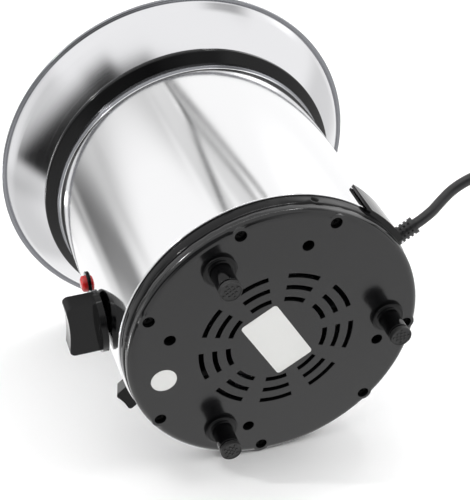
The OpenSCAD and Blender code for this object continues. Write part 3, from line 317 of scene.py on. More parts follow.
class Finishes:
    """Every material of the object, made once and shared."""

    RECIPES = (
        # Polished stainless sheet: sharp reflections with faint lines round the body
        TurnedSteel("polished_steel", Tone.MIRROR_STEEL, 0.08, 0.03, 0.3, 0.385),
        # The same sheet where it is rolled over, darkened as a painted dark reflection: darker, in place of the
        # dark neighbours that it reflects
        TurnedSteel("painted_reflection_steel", Tone.PAINTED_REFLECTION_STEEL, 0.2, 0.05, 0.2, 0.385),
        # Spun stainless sheet: softer reflections, with lines round the flare
        TurnedSteel("bowl_steel", Tone.BOWL_STEEL, 0.13, 0.04, 0.3, 0.667, outward=True),
        # Zinc-plated steel of the nuts, studs and posts: dull and grey
        Mottled("fixing_steel", Tone.PLAIN_STEEL, 0.34),
        # Ground steel of the shafts and pins: the same grey with a tighter gloss
        Mottled("shaft_steel", Tone.PLAIN_STEEL, 0.22),
        # ABS from a polished mould, with a 4 mm orange peel: near black, with small sharp highlights
        Moulded("black_gloss", Tone.BLACK_GLOSS, 0.08, 3.85, 0.02, 0.03, 0.03, 0.22),
        # The same ABS on the wide plate, which shows an even dark grey sheen
        Moulded("plate_black", Tone.PLATE_BLACK, 0.14, 3.85, 0.02, 0.03, 0.03),
        # Moulded rubber of the feet: matt and sandy
        Moulded("foot_rubber", Tone.BLACK_RUBBER, 0.62, 0.667, 0.25, 0.08),
        # Extruded PVC of the lead and plug: dark satin
        Moulded("cord_black", Tone.BLACK_CORD, 0.36, 0.91, 0.08),
        # Black oxide of the screws, made darker and duller still as painted shade, so that their wells show black
        Moulded("screw_black", Tone.SCREW_BLACK_AND_WELL_SHADE, 0.5, 1.43, 0.1, specular=0.1),
        # Cast aluminium of the heater plate: pale and dull
        Mottled("heater_aluminium", Tone.ALUMINIUM, 0.42),
        # Drawn steel sheath of the element, browned by heat: dark and dull
        Mottled("element_sheath", Tone.SHEATH, 0.5),
        # Unglazed ceramic of the thermostat and fuse: cream and matt
        Moulded("ceramic", Tone.CERAMIC, 0.55),
        # Natural acetal of the gears: ivory satin
        Moulded("gear_plastic", Tone.NATURAL_PLASTIC, 0.42),
        # Sintered bronze of the bushes: brown and mottled
        Mottled("bush_bronze", Tone.BRONZE, 0.4),
        # Silicone of the shaft seal: brick red satin
        Moulded("seal_silicone", Tone.SILICONE, 0.5),
        # Stamped iron sheets of the motor: dark grey and dull
        Mottled("motor_iron", Tone.IRON, 0.5),
        # Enamelled copper wire: red-brown with a soft gloss
        Mottled("coil_winding", Tone.COPPER, 0.38),
        # Nylon of the fan: black satin
        Moulded("fan_plastic", Tone.BLACK_RUBBER, 0.45),
        # Urea moulding of the switches: cream satin
        Moulded("switch_plastic", Tone.SWITCH_PLASTIC, 0.45),
        # Red acrylic of the lens: some light passes, and a 2 mm ripple breaks up its highlight
        Moulded("lens_red", Tone.LENS_RED, 0.12, 2.0, 0.05, 0.05, spread=0.0, octaves=1, clear=0.25),
        # Coated paper of the bare labels: off-white, a faint sheen over fibres drawn 0.7 mm wide so that they show
        Mottled("label_white", Tone.LABEL_WHITE, 0.39, 0.07, 0.0, 0.714, 0.05, 0.02),
    )

    def __init__(self) -> None:
        """Builds every finish."""
        self.made = {recipe.name: recipe.build() for recipe in self.RECIPES}

    def of(self, slot: str) -> Material:
        """The finish of a material slot."""
        return self.made[slot]


def arc(centre: Point, radius: float, start: float, end: float, steps: int) -> list[Point]:
    """Points along an arc.

    Args:
        centre: Its centre.
        radius: Its radius.
        start: First angle in degrees.
        end: Last angle in degrees.
        steps: Number of chords.

    Returns:
        The points from start to end.
    """
    angles = [radians(start + (end - start) * i / steps) for i in range(steps + 1)]
    return [(centre[0] + radius * cos(a), centre[1] + radius * sin(a)) for a in angles]


def rounded(corners: Sequence[tuple[float, float, float]], steps: int) -> list[Point]:
    """A closed outline whose corners are rounded.

    Args:
        corners: Each corner's two coordinates and its fillet radius.
        steps: Chords for each fillet.

    Returns:
        The outline's points.
    """
    points: list[Point] = []
    count = len(corners)
    for i, (x, y, fillet) in enumerate(corners):
        here = Vector((x, y))
        if fillet <= 0:
            points.append((x, y))
            continue
        back = (Vector(corners[i - 1][:2]) - here).normalized()
        ahead = (Vector(corners[(i + 1) % count][:2]) - here).normalized()
        half = back.angle(ahead) / 2
        centre = here + (back + ahead).normalized() * fillet / sin(half)
        first = here + back * fillet / tan(half) - centre
        last = here + ahead * fillet / tan(half) - centre
        turn = first.angle_signed(last)
        for k in range(steps + 1):
            a = -turn * k / steps
            points.append((centre.x + first.x * cos(a) - first.y * sin(a),
                           centre.y + first.x * sin(a) + first.y * cos(a)))
    return points


def spin(azimuth: float) -> Matrix:
    """A turn round the bowl's axis by degrees."""
    return Matrix.Rotation(radians(azimuth), 4, "Z")


def radial(azimuth: float, height: float) -> Matrix:
    """A place on the axis at a height in millimetres, with local +Z towards the azimuth and local +X down."""
    return spin(azimuth) @ Matrix.Translation((0, 0, height * MM)) @ Matrix.Rotation(pi / 2, 4, "Y")


def put(name: str, data: bpy.types.ID) -> Object:
    """A new object in the scene, at its origin."""
    thing = bpy.data.objects.new(name, data)
    bpy.context.scene.collection.objects.link(thing)
    return thing


def finish_mesh(name: str, mesh: BMesh, place: Matrix, sharp_deg: float = SHARP_DEG) -> Object:
    """Turns a bmesh in millimetres into a smooth-shaded object in metres.

    Args:
        name: The object's name.
        mesh: The bmesh, which is freed.
        place: Where it goes, in metres.
        sharp_deg: Edges that turn more than this are sharp, beside those that are marked so already.

    Returns:
        The object, at the frame's origin with its place in its mesh.
    """
    bmesh.ops.recalc_face_normals(mesh, faces=mesh.faces)
    mesh.transform(place @ Matrix.Scale(MM, 4))
    data = bpy.data.meshes.new(name)
    mesh.to_mesh(data)
    mesh.free()
    data.shade_smooth()
    kept = [edge.index for edge in data.edges if edge.use_edge_sharp]
    data.set_sharp_from_angle(angle=radians(sharp_deg))
    for index in kept:
        data.edges[index].use_edge_sharp = True
    return put(name, data)


def weigh_normals(piece: Object) -> Object:
    """Turns a piece's normals towards its largest faces, so a flat wall stays flat beside a rounded one.

    Args:
        piece: The piece, whose mesh is exchanged.

    Returns:
        The piece.
    """
    weighted = piece.modifiers.new("weighted", "WEIGHTED_NORMAL")
    weighted.keep_sharp = True
    weighted.weight = 100
    bpy.context.view_layer.update()
    graph = bpy.context.evaluated_depsgraph_get()
    ready = piece.evaluated_get(graph)
    mesh = bpy.data.meshes.new_from_object(ready, preserve_all_data_layers=True, depsgraph=graph)
    piece.modifiers.clear()
    piece.data = mesh
    return piece


def lathe(mesh: BMesh, outline: Sequence[Point], segments: int, place: Matrix | None = None) -> None:
    """Adds a closed outline turned round the local Z axis.

    Args:
        mesh: The bmesh that takes it.
        outline: Points of radius and height; a radius of zero is on the axis.
        segments: Number of segments round.
        place: Where it goes, in millimetres.
    """
    here = place or Matrix.Identity(4)
    rings: list[list[bmesh.types.BMVert]] = []
    for radius, height in outline:
        if radius < 1e-6:
            rings.append([mesh.verts.new(here @ Vector((0, 0, height)))] * segments)
            continue
        rings.append([mesh.verts.new(here @ Vector((radius * cos(a), radius * sin(a), height)))
                      for a in (2 * pi * k / segments for k in range(segments))])
    for i, ring in enumerate(rings):
        other = rings[(i + 1) % len(rings)]
        for k in range(segments):
            nxt = (k + 1) % segments
            corners = dict.fromkeys((ring[k], ring[nxt], other[nxt], other[k]))
            if len(corners) > 2:
                mesh.faces.new(list(corners))


def turned(name: str, outline: Sequence[Point], segments: int, place: Matrix | None = None,
           sharp_deg: float = SHARP_DEG) -> Object:
    """A closed outline turned round an axis, as an object.

    Args:
        name: The object's name.
        outline: Points of radius and height.
        segments: Number of segments round.
        place: Where it goes, in metres; the bowl's axis if not given.
        sharp_deg: Edges that turn more than this are sharp.

    Returns:
        The object.
    """
    mesh = bmesh.new()
    lathe(mesh, outline, segments)
    return finish_mesh(name, mesh, place or Matrix.Identity(4), sharp_deg)


def bevel(mesh: BMesh, width: float, segments: int) -> None:
    """Rounds the sharp edges of a bmesh.

    Args:
        mesh: The bmesh.
        width: Bevel width in millimetres.
        segments: Chords of each rounding.
    """
    limit = radians(SHARP_DEG)
    edges = [e for e in mesh.edges if len(e.link_faces) == 2 and e.calc_face_angle(0) > limit]
    bmesh.ops.bevel(mesh, geom=edges, offset=width, offset_type="OFFSET", segments=segments, profile=0.5,
                    affect="EDGES", clamp_overlap=True)


class Workshop:
    """Takes each finished piece, dresses it, ties it to its body and hides the nodes that it stands for."""

    # Points nearer than this, in millimetres, are one
    WELD = 0.01
    # Faces that turn less than this, in degrees, are one before edges are rounded
    FLAT_DEG = 0.4
    # A wall is level if its normal's height is more than this
    LEVEL = 0.999
    # Two walls are one plane if they turn less than this, in radians
    EVEN = 0.01

    def __init__(self, frame: dict, finishes: Finishes) -> None:
        """Keeps the frame and the finishes.

        Args:
            finishes: The object's materials.
        """
        self.frame = frame
        self.finishes = finishes
        self.slot_of = {s["node"]: s["material_slot"] for s in frame["record"]["subparts"]}

    def dress_nodes(self) -> None:
        """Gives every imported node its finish."""
        for node, thing in self.frame["nodes"].items():
            thing.data.materials.clear()
            thing.data.materials.append(self.finishes.of(self.slot_of[node]))

    def deliver(self, piece: Object, body: str, slot: str, *nodes: str) -> Object:
        """Dresses a piece and ties it to a body.

        Args:
            piece: The new object.
            body: The body that it rides on.
            slot: Its material slot.
            *nodes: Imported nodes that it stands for.

        Returns:
            The piece.
        """
        piece.data.materials.clear()
        piece.data.materials.append(self.finishes.of(slot))
        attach(piece, body)
        if nodes:
            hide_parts(*nodes)
        LOG.info("%s rides on %s", piece.name, body)
        return piece

    def soften(self, node: str, body: str, width: float, name: str) -> Object:
        """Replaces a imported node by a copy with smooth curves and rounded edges, as moulding leaves them.

        The edges of level walls stay sharp, because their long triangles would smear a hole's shading.

        Args:
            node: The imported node.
            body: The body that it rides on.
            width: How wide the rounding is, in millimetres; 0 only smooths the curves.
            name: The copy's name.

        Returns:
            The copy.
        """
        mesh = bmesh.new()
        mesh.from_mesh(self.frame["nodes"][node].data)
        mesh.transform(Matrix.Scale(1 / MM, 4))
        bmesh.ops.remove_doubles(mesh, verts=mesh.verts, dist=self.WELD)
        mesh.normal_update()
        if width:
            limit = radians(self.FLAT_DEG)
            bmesh.ops.dissolve_limit(mesh, angle_limit=limit, verts=mesh.verts, edges=mesh.edges)
            bevel(mesh, width, 3)
            bmesh.ops.triangulate(mesh, faces=[f for f in mesh.faces if len(f.verts) > 4])
        for edge in mesh.edges:
            level = len(edge.link_faces) == 2 and max(abs(f.normal.z) for f in edge.link_faces) > self.LEVEL
            edge.smooth = not (level and edge.calc_face_angle() > self.EVEN)
        piece = weigh_normals(finish_mesh(name, mesh, Matrix.Identity(4)))
        return self.deliver(piece, body, self.slot_of[node], node)


class Stamper:
    """A Geometry Nodes tree that stands copies of one unit on the points of a carrier mesh."""

    def __init__(self) -> None:
        """Builds the tree with its named inputs."""
        tree = bpy.data.node_groups.new("stand_units_on_points", "GeometryNodeTree")
        face = tree.interface
        face.new_socket("Geometry", in_out="INPUT", socket_type="NodeSocketGeometry")
        self.unit, self.finish, self.size = (
            face.new_socket(name, in_out="INPUT", socket_type=f"NodeSocket{kind}").identifier
            for name, kind in (("Unit", "Object"), ("Finish", "Material"), ("Size", "Float")))
        face.new_socket("Geometry", in_out="OUTPUT", socket_type="NodeSocketGeometry")
        desk = NodeDesk(tree)
        start = desk.add("NodeGroupInput")
        info = desk.add("GeometryNodeObjectInfo", {"Object": start.outputs["Unit"]})
        turn = desk.add("GeometryNodeInputNamedAttribute", {"Name": "turn"}, data_type="FLOAT_VECTOR")
        stand = desk.add("GeometryNodeInstanceOnPoints", {
            "Points": start.outputs["Geometry"], "Instance": info.outputs["Geometry"],
            "Rotation": turn.outputs["Attribute"], "Scale": start.outputs["Size"]})
        real = desk.add("GeometryNodeRealizeInstances", {0: stand})
        paint = desk.add("GeometryNodeSetMaterial", {"Geometry": real, "Material": start.outputs["Finish"]})
        desk.add("NodeGroupOutput", {0: paint})
        self.tree = tree

    def stamp(self, name: str, unit: Object, places: Sequence[Matrix], finish: Material) -> Object:
        """Stands the unit at each place and gives back one plain mesh.

        Args:
            name: The new object's name.
            unit: The unit, at the origin, which is removed afterwards.
            places: Where each copy goes, in metres.
            finish: The material that the tree sets.

        Returns:
            The object with the copies.
        """
        data = bpy.data.meshes.new(f"{name}_points")
        data.from_pydata([tuple(m.translation) for m in places], [], [])
        turns = data.attributes.new("turn", "FLOAT_VECTOR", "POINT")
        for slot, place in zip(turns.data, places):
            slot.vector = tuple(place.to_euler())
        carrier = put(f"{name}_points", data)
        step = carrier.modifiers.new("copies", "NODES")
        step.node_group = self.tree
        step[self.unit] = unit
        step[self.finish] = finish
        step[self.size] = 1.0
        bpy.context.view_layer.update()
        ready = carrier.evaluated_get(bpy.context.evaluated_depsgraph_get())
        made = bpy.data.meshes.new_from_object(ready)
        made.name = name
        thing = put(name, made)
        for spare in (carrier, unit):
            bpy.data.objects.remove(spare, do_unlink=True)
        made.shade_smooth()
        made.set_sharp_from_angle(angle=radians(SHARP_DEG))
        return thing


@dataclass
class Lead:
    """The mains lead with its coil and plug, along the same points as the solids."""

    shop: Workshop
    diameter: float = 6.4
    azimuth: float = 60.0
    route: tuple[Point, ...] = (
        (101, 35), (105.5, 35), (113.4, 36), (121, 38.6), (128.7, 40.7), (136.7, 40.9), (144.6, 39.3),
        (151.8, 35.8), (158, 30.8), (163.8, 25.3), (169.5, 19.7), (175.4, 14.2), (181.8, 9.5),
        (189.1, 6), (196.8, 3.9), (204.8, 3.3), (212.3, 3.2))
    coil_radius: float = 43.8
    coil_gap: float = 0.6
    turns: float = 5.0
    rings_per_turn: int = 24
    chords: int = 3
    tail: float = 40.0
    tail_rings: int = 8
    tail_level_share: float = 0.4
    tail_down_share: float = 0.45
    plug_width: float = 35.3
    plug_thick: float = 13.7
    plug_length: float = 24.0
    boot_length: float = 14.0
    boot_radius: float = 5.0
    pin_radius: float = 2.0
    pin_length: float = 19.0
    pin_pitch: float = 19.0

    @staticmethod
    def smooth(share: float) -> float:
        """An S-curve from 0 to 1."""
        x = min(1.0, max(0.0, share))
        return x * x * (3 - 2 * x)

    def coil_point(self, turn: float) -> Vector:
        """The coil's middle line at a count of turns, in the outlet's frame."""
        pitch = self.diameter + self.coil_gap
        middle = self.turns / 2
        radius = self.coil_radius - pitch * (middle - abs(turn - middle))
        angle = 2 * pi * turn - pi / 2
        start, level = self.route[-1]
        return Vector((start + self.diameter + radius * cos(angle),
                       self.coil_radius + radius * sin(angle),
                       level + pitch * self.smooth((turn - middle) * 2 + 0.5)))

    def knots(self) -> list[Vector]:
        """Every point that the lead passes, from the outlet to the plug, in the outlet's frame."""
        points = [Vector((r, 0, z)) for r, z in self.route]
        steps = int(self.turns * self.rings_per_turn)
        points += [self.coil_point(i / self.rings_per_turn) for i in range(steps + 1)]
        end = points[-1].copy()
        down = self.plug_thick / 2 - end.z
        for i in range(1, self.tail_rings + 1):
            share = i / self.tail_rings
            fall = self.smooth((share - self.tail_level_share) / self.tail_down_share)
            points.append(end + Vector((self.tail * share, 0, down * fall)))
        return points

    def path(self) -> list[Vector]:
        """The lead's smooth middle line in metres, in the frame.

        Returns:
            The points, with a few chords between two knots.
        """
        knots = self.knots()
        ends = [2 * knots[0] - knots[1], *knots, 2 * knots[-1] - knots[-2]]
        points: list[Vector] = []
        for p0, p1, p2, p3 in zip(ends, ends[1:], ends[2:], ends[3:]):
            for k in range(self.chords):
                t = k / self.chords
                points.append(0.5 * (2 * p1 + (p2 - p0) * t + (2 * p0 - 5 * p1 + 4 * p2 - p3) * t ** 2
                                     + (3 * p1 - p0 - 3 * p2 + p3) * t ** 3))
        points.append(knots[-1])
        turn = spin(self.azimuth) @ Matrix.Scale(MM, 4)
        return [turn @ p for p in points]

    def flex(self) -> tuple[Object, float]:
        """The lead as a curve.

        Returns:
            The curve and its length in metres.
        """
        points = self.path()
        curve = bpy.data.curves.new("mains_lead", "CURVE")
        curve.dimensions = "3D"
        curve.bevel_depth = self.diameter / 2 * MM
        curve.bevel_resolution = 6
        curve.use_fill_caps = True
        spline = curve.splines.new("POLY")
        spline.points.add(len(points) - 1)
        for knot, point in zip(spline.points, points):
            knot.co = (*point, 1.0)
        length = sum((b - a).length for a, b in zip(points, points[1:]))
        return put("mains_lead", curve), length

    def section(self, width: float, thick: float, corner: float, x: float) -> list[Vector]:
        """A rounded rectangle across the plug's axis.

        Args:
            width: Size across.
            thick: Size up.
            corner: Corner radius.
            x: Place along the axis.

        Returns:
            Its points.
        """
        w, t = width / 2, thick / 2
        c = min(corner, w * 0.98, t * 0.98)
        flat = rounded(((-w, -t, c), (w, -t, c), (w, t, c), (-w, t, c)), 6)
        return [Vector((x, y, z)) for y, z in flat]

    def plug(self) -> Object:
        """The moulded plug body with its ribbed boot."""
        mesh = bmesh.new()
        w, t = self.plug_width, self.plug_thick
        boot, length = self.boot_length, self.plug_length
        sections = [(6.6, 6.6, 3.2, 0.0), (7.4, 7.4, 3.6, 0.5)]
        for k in range(4):
            x = 1.5 + k * 2.8
            grown = 7.6 + k * 0.7
            sections += [(grown + 1.2, grown + 1.2, 4, x), (grown + 1.4, grown + 1.4, 4, x + 1.5),
                         (grown, grown, 4, x + 1.8), (grown, grown, 4, x + 2.5)]
        sections += [(15.0, 11.4, 5.2, boot), (24.0, 12.8, 6, boot + 2.5), (31.5, t - 0.2, 6, boot + 6.5),
                     (w - 0.8, t, 6, boot + 11), (w, t, 6, boot + 15), (w, t, 6, boot + length - 1.0),
                     (w - 0.6, t - 0.6, 5.8, boot + length - 0.3), (w - 1.8, t - 1.8, 5.2, boot + length)]
        rings = [[mesh.verts.new(p) for p in self.section(*values)] for values in sections]
        for ring, other in zip(rings, rings[1:]):
            for k in range(len(ring)):
                j = (k + 1) % len(ring)
                mesh.faces.new((ring[k], ring[j], other[j], other[k]))
        mesh.faces.new(rings[0])
        mesh.faces.new(rings[-1])
        return finish_mesh("plug_moulding", mesh, self.plug_place(), 40)

    def pins(self) -> Object:
        """The plug's two round pins."""
        mesh = bmesh.new()
        r, length = self.pin_radius, self.pin_length
        outline = [(0.0, -1.0), (r, -1.0), *arc((r - 1.2, length - 1.2), 1.2, 0, 90, 5), (0.0, length)]
        for side in (-1, 1):
            place = Matrix.Translation((self.boot_length + self.plug_length, side * self.pin_pitch / 2, 0))
            lathe(mesh, outline, 28, place @ Matrix.Rotation(pi / 2, 4, "Y"))
        return finish_mesh("plug_pins", mesh, self.plug_place())

    def plug_place(self) -> Matrix:
        """Where the plug's boot starts, with local +X along the lead."""
        return spin(self.azimuth) @ Matrix.Translation(self.knots()[-1] * MM)

    def build(self) -> None:
        flex, length = self.flex()
        self.shop.deliver(flex, BASE, "cord_black", "power_cord", "cord_coil")
        plug = self.shop.deliver(self.plug(), BASE, "cord_black", "mains_plug")
        pins = self.shop.deliver(self.pins(), BASE, "shaft_steel")
        start = self.path()[0]


@dataclass
class SteelBody:
    """The polished sleeve, the black collar and the spun bowl."""

    shop: Workshop
    segments: int = 256
    low_radius: float = 88.6
    high_radius: float = 90.3
    low_z: float = 34.9
    high_z: float = 182.6
    bead_height: float = 5.1
    bead_out: float = 1.1
    wall: float = 0.6
    lip: float = 3.0
    collar_radius: float = 97.8
    collar_inner: float = 86.0
    collar_slope: float = 4.6
    collar_height: float = 9.0
    collar_round: float = 2.2
    spigot: float = 8.0
    bowl_z: float = 176.0
    bowl_height: float = 44.0
    bowl_radius: float = 120.0
    floor_radius: float = 62.0
    turn_radius: float = 40.0
    bowl_wall: float = 0.8
    bead: float = 1.6
    neck_radius: float = 9.0
    neck_height: float = 9.0
    bulge: float = 0.7
    swell_steps: int = 12
    seat_share: float = 0.2
    hem: float = 3.0
    # How far in from the rim, in bead radii, the bowl's painted dark reflection reaches
    painted_reflection_share: float = 1.7

    def sleeve(self) -> Object:
        """The sleeve with its lip and top bead."""
        z0, z1 = self.low_z, self.high_z
        zb = z1 - self.bead_height
        out, w = self.bead_out, self.wall
        r0, r1 = self.low_radius, self.high_radius
        outline = rounded((
            (r0 - self.lip, z0, 0), (r0, z0, 0.5), (r1, zb, 1.6), (r1 + out, zb + 1.7, 0.5),
            (r1 + out, z1, 0.2), (r1 + out - w, z1, 0.2), (r1 + out - w, zb + 2.0, 0.4),
            (r1 - w, zb + 0.2, 0.4), (r0 - w, z0 + w, 0.2), (r0 - self.lip, z0 + w, 0)), 4)
        return weigh_normals(turned("steel_sleeve", outline, self.segments, sharp_deg=50))

    def paint_edge_reflection(self, piece: Object, radius: float, height: float) -> None:
        """Paints a darker steel on a rolled edge as a painted dark reflection, in place of the dark neighbours
        that it reflects.

        Args:
            piece: The steel piece.
            radius: Faces further out than this are the edge's.
            height: Faces higher than this are the edge's.
        """
        piece.data.materials.append(self.shop.finishes.of("painted_reflection_steel"))
        for face in piece.data.polygons:
            middle = face.center / MM
            if middle.xy.length > radius and middle.z > height:
                face.material_index = 1

    def flare(self, away: float, start: float, end: float, steps: int) -> list[Point]:
        """Points of the bowl's turn at a distance outside its underside."""
        centre = (self.floor_radius, self.bowl_z + self.turn_radius)
        return arc(centre, self.turn_radius + away, start, end, steps)

    def swell(self, away: float, slope: float, centre: Point) -> list[Point]:
        """Points between the turn and the rim, pushed outward so that the wall keeps curving.

        Args:
            away: Distance inside the underside, as a negative number.
            slope: The wall's mean slope in degrees.
            centre: The rim bead's centre.

        Returns:
            The points, without the ends.
        """
        lean = radians(slope - 90)
        out = Vector((cos(lean), sin(lean)))
        start = Vector(self.flare(away, slope - 90, slope - 90, 1)[0])
        end = Vector(centre) + out * (self.bead * self.seat_share + away)
        shares = [k / self.swell_steps for k in range(1, self.swell_steps - 1)]
        return [tuple(start.lerp(end, t) + out * (4 * self.bulge * t * (1 - t))) for t in shares]

    def flare_angle(self) -> float:
        """Slope of the bowl's straight wall in degrees."""
        dx = self.bowl_radius - self.bead - self.floor_radius
        dz = self.bowl_height - self.bead - self.turn_radius
        return degrees(atan2(dz, dx) + asin(self.turn_radius / hypot(dx, dz)))

    def bowl(self) -> Object:
        """The spun bowl with its rolled rim and neck."""
        slope = self.flare_angle()
        centre = (self.bowl_radius - self.bead, self.bowl_z + self.bowl_height - self.bead)
        neck, w = self.neck_radius, self.bowl_wall
        top = self.bowl_z + self.neck_height
        outside = [(neck - w, self.bowl_z + 1.2), *arc((neck + 0.4, self.bowl_z + 1.2), 1.2, 180, 270, 4)]
        outside += self.flare(0, -90, slope - 90, 28)
        outside += self.swell(0, slope, centre)
        lean = radians(slope)
        outside.append((centre[0] - self.hem * cos(lean), centre[1] - self.hem * sin(lean)))
        roll = arc(centre, self.bead, slope - 180, slope + 90, 22)
        inside = self.flare(-w, slope - 90, -90, 28)
        collar = [(neck + 1.2, self.bowl_z + w), *arc((neck + 1.2, self.bowl_z + w + 1.2), 1.2, 270, 180, 4),
                  *arc((neck - w / 2, top - w / 2), w / 2, 0, 180, 4)]
        outline = [*outside, *roll, *inside, *collar]
        return weigh_normals(turned("spun_bowl", outline, self.segments, sharp_deg=50))

    def collar(self) -> Object:
        """The black collar between the sleeve and the bowl."""
        low = self.high_radius + self.bead_out
        spigot = self.high_radius - self.wall - 0.3
        z0, top = self.high_z, self.high_z + self.collar_height
        slope = self.flare_angle()
        inner = self.collar_inner
        radius = self.turn_radius + 0.1
        first = degrees(asin((inner - self.floor_radius) / radius)) - 90
        seat = self.flare(0.1, first, slope - 90, 14)
        lean = radians(slope)
        reach = (top - seat[-1][1]) / sin(lean)
        seat.append((seat[-1][0] + reach * cos(lean), top))
        outline = [(inner, z0 - self.spigot), (spigot, z0 - self.spigot), (spigot, z0),
                   *rounded(((low, z0, 0.35), (self.collar_radius, z0 + self.collar_slope, 1.6),
                             (self.collar_radius, top, self.collar_round), (spigot, top, 0), (spigot, z0, 0)),
                            6)[:-2],
                   *reversed(seat)]
        return weigh_normals(turned("black_collar", outline, self.segments, sharp_deg=40))

    def build(self) -> None:
        """Makes the three shells."""
        sleeve = self.shop.deliver(self.sleeve(), BASE, "polished_steel", "body_sleeve")
        # Painted dark reflections on the sleeve's top bead and the bowl's rolled rim
        self.paint_edge_reflection(sleeve, self.high_radius - 0.5, self.high_z - self.bead_height)
        bowl = self.shop.deliver(self.bowl(), BASE, "bowl_steel", "bowl")
        self.paint_edge_reflection(bowl, self.bowl_radius - self.painted_reflection_share * self.bead, self.bowl_z)
        self.shop.deliver(self.collar(), BASE, "black_gloss", "collar")


@dataclass
class Foot:
    """One levelling foot: a flange on the plate, a moulded stem and a rubber pad with a cross-hatched face."""

    shop: Workshop
    stamper: Stamper
    number: int
    azimuth: float
    circle: float = 67.7
    plate_z: float = 20.5
    flange_radius: float = 9.8
    flange_height: float = 3.0
    flange_round: float = 1.4
    stem_radius: float = 6.1
    stem_top: float = 34.4
    groove_height: float = 0.9
    groove_depth: float = 0.8
    pad_radius: float = 6.3
    pad_height: float = 3.2
    tread_depth: float = 0.5
    tread_pitch: float = 2.2
    tread_width: float = 1.2
    tread_round: float = 0.12
    segments: int = 72

    @property
    def place(self) -> Matrix:
        """The foot's axis on the table."""
        return spin(self.azimuth) @ Matrix.Translation((self.circle * MM, 0, 0))

    def flange(self) -> Object:
        """The rounded flange with its raised ring round the stem."""
        low, high = self.plate_z - self.flange_height - 0.06, self.plate_z + 0.4
        bore, out = self.stem_radius + 0.16, self.flange_radius + 0.08
        ring = bore + 1.0
        outline = rounded((
            (bore, low - 0.35, 0.15), (ring, low - 0.35, 0.3), (ring + 0.3, low, 0.12),
            (out, low, self.flange_round), (out, high, 0), (bore, high, 0)), 8)
        return turned(f"foot_flange_{self.number}", outline, self.segments, self.place)

    def stem(self) -> Object:
        """The glossy stem with its groove above the pad."""
        r, low = self.stem_radius, self.pad_height
        neck = r - self.groove_depth
        outline = rounded((
            (0, low, 0), (neck, low, 0), (neck, low + self.groove_height, 0.15),
            (r, low + self.groove_height, 0.5), (r, self.stem_top, 0.3), (0, self.stem_top, 0)), 5)
        return turned(f"stem_{self.number}", outline, self.segments, self.place)

    def pad(self) -> Object:
        """The pad's disc over its tread."""
        r, base, top = self.pad_radius, self.tread_depth, self.pad_height
        outline = rounded(((0, base, 0), (r - 0.9, base, 0.1), (r - 0.7, 0.05, 0.15), (r - 0.25, 0.05, 0.2),
                           (r, 0.5, 0.3), (r, top - 0.05, 0.35), (0, top - 0.05, 0)), 4)
        return turned(f"pad_{self.number}", outline, self.segments, self.place)

    def tread(self) -> Object:
        """The squares of the pad's cross-hatched face."""
        block = bmesh.new()
        bmesh.ops.create_cube(block, size=1.0)
        tall = self.tread_depth + 0.2
        size = Matrix.Diagonal((self.tread_width, self.tread_width, tall, 1))
        bmesh.ops.transform(block, verts=block.verts, matrix=size)
        bevel(block, self.tread_round, 1)
        unit = finish_mesh("tread_unit", block, Matrix.Translation((0, 0, tall / 2 * MM)))
        reach = self.pad_radius - 0.9 - self.tread_width / 2
        steps = range(-3, 4)
        places = [self.place @ Matrix.Translation((x * self.tread_pitch * MM, y * self.tread_pitch * MM, 0))
                  for x in steps for y in steps if hypot(x, y) * self.tread_pitch <= reach]
        return self.stamper.stamp(f"tread_{self.number}", unit, places, self.shop.finishes.of("foot_rubber"))

    def build(self) -> None:
        """Makes the foot's pieces."""
        body = f"foot_{self.number}"
        self.shop.deliver(self.flange(), BASE, "black_gloss")
        self.shop.deliver(self.stem(), body, "black_gloss", f"foot_stem_{self.number}")
        self.shop.deliver(self.pad(), body, "foot_rubber", f"foot_pad_{self.number}")
        self.shop.deliver(self.tread(), body, "foot_rubber")


@dataclass
class Mouldings:
    """The black base shells, the two knobs, the lamp and the cord outlet."""

    shop: Workshop
    lamp_azimuth: float = 270.0
    lamp_height: float = 105.0
    lamp_face: float = 90.5
    bezel_thick: float = 0.9
    lens_radius: float = 5.0
    lens_out: float = 2.6
    lens_depth: float = 8.0
    lens_segments: int = 56

    def lens(self) -> Object:
        """The lamp's red lens with a stepped, domed cap."""
        r, face = self.lens_radius, self.lamp_face + self.bezel_thick
        top = face + self.lens_out
        outline = rounded((
            (0, face - self.lens_depth, 0), (r, face - self.lens_depth, 0), (r, face + 0.9, 0.3),
            (r - 0.5, top - 0.9, 0.8), (r - 2.0, top - 0.1, 1.4), (0, top, 0)), 5)
        return turned("red_lens", outline, self.lens_segments, radial(self.lamp_azimuth, self.lamp_height))

    def build(self) -> None:
        """Rounds the moulded nodes and makes the lens."""
        plate = self.shop.soften("base_cover", BASE, 0, "plate_moulding")
        plate.data.materials[0] = self.shop.finishes.of("plate_black")
        self.shop.soften("base_ring", BASE, 0, "ring_moulding")
        self.shop.soften("lamp_bezel", BASE, 0.3, "lamp_collar")
        self.shop.soften("cord_gland", BASE, 0.35, "cord_sleeve")
        self.shop.soften("heat_knob", "heat_control", 0.8, "heat_grip")
        self.shop.soften("motor_knob", "motor_control", 0.6, "motor_grip")
        self.shop.deliver(self.lens(), BASE, "lens_red", "lamp_lens")


@dataclass(frozen=True)
class Flag:
    """A soft stroke across the studio's surround, darker or brighter than the rest, in degrees."""

    # Cosine of the angle to the stroke's middle within which it is whole; at a right angle it has faded out
    FRONT = 0.3

    start: Point
    end: Point
    half_width: float
    soft: float
    level: float

    @staticmethod
    def direction(azimuth: float, elevation: float) -> Vector:
        """The unit vector of an azimuth and an elevation in degrees."""
        a, e = radians(azimuth), radians(elevation)
        return Vector((cos(e) * cos(a), cos(e) * sin(a), sin(e)))

    def axes(self) -> tuple[Vector, Vector, Vector, float]:
        """The stroke's middle, the directions across and along it, and half its length in degrees."""
        p, q = self.direction(*self.start), self.direction(*self.end)
        middle, along = (p + q).normalized(), (q - p).normalized()
        return middle, middle.cross(along), along, degrees(p.angle(q)) / 2


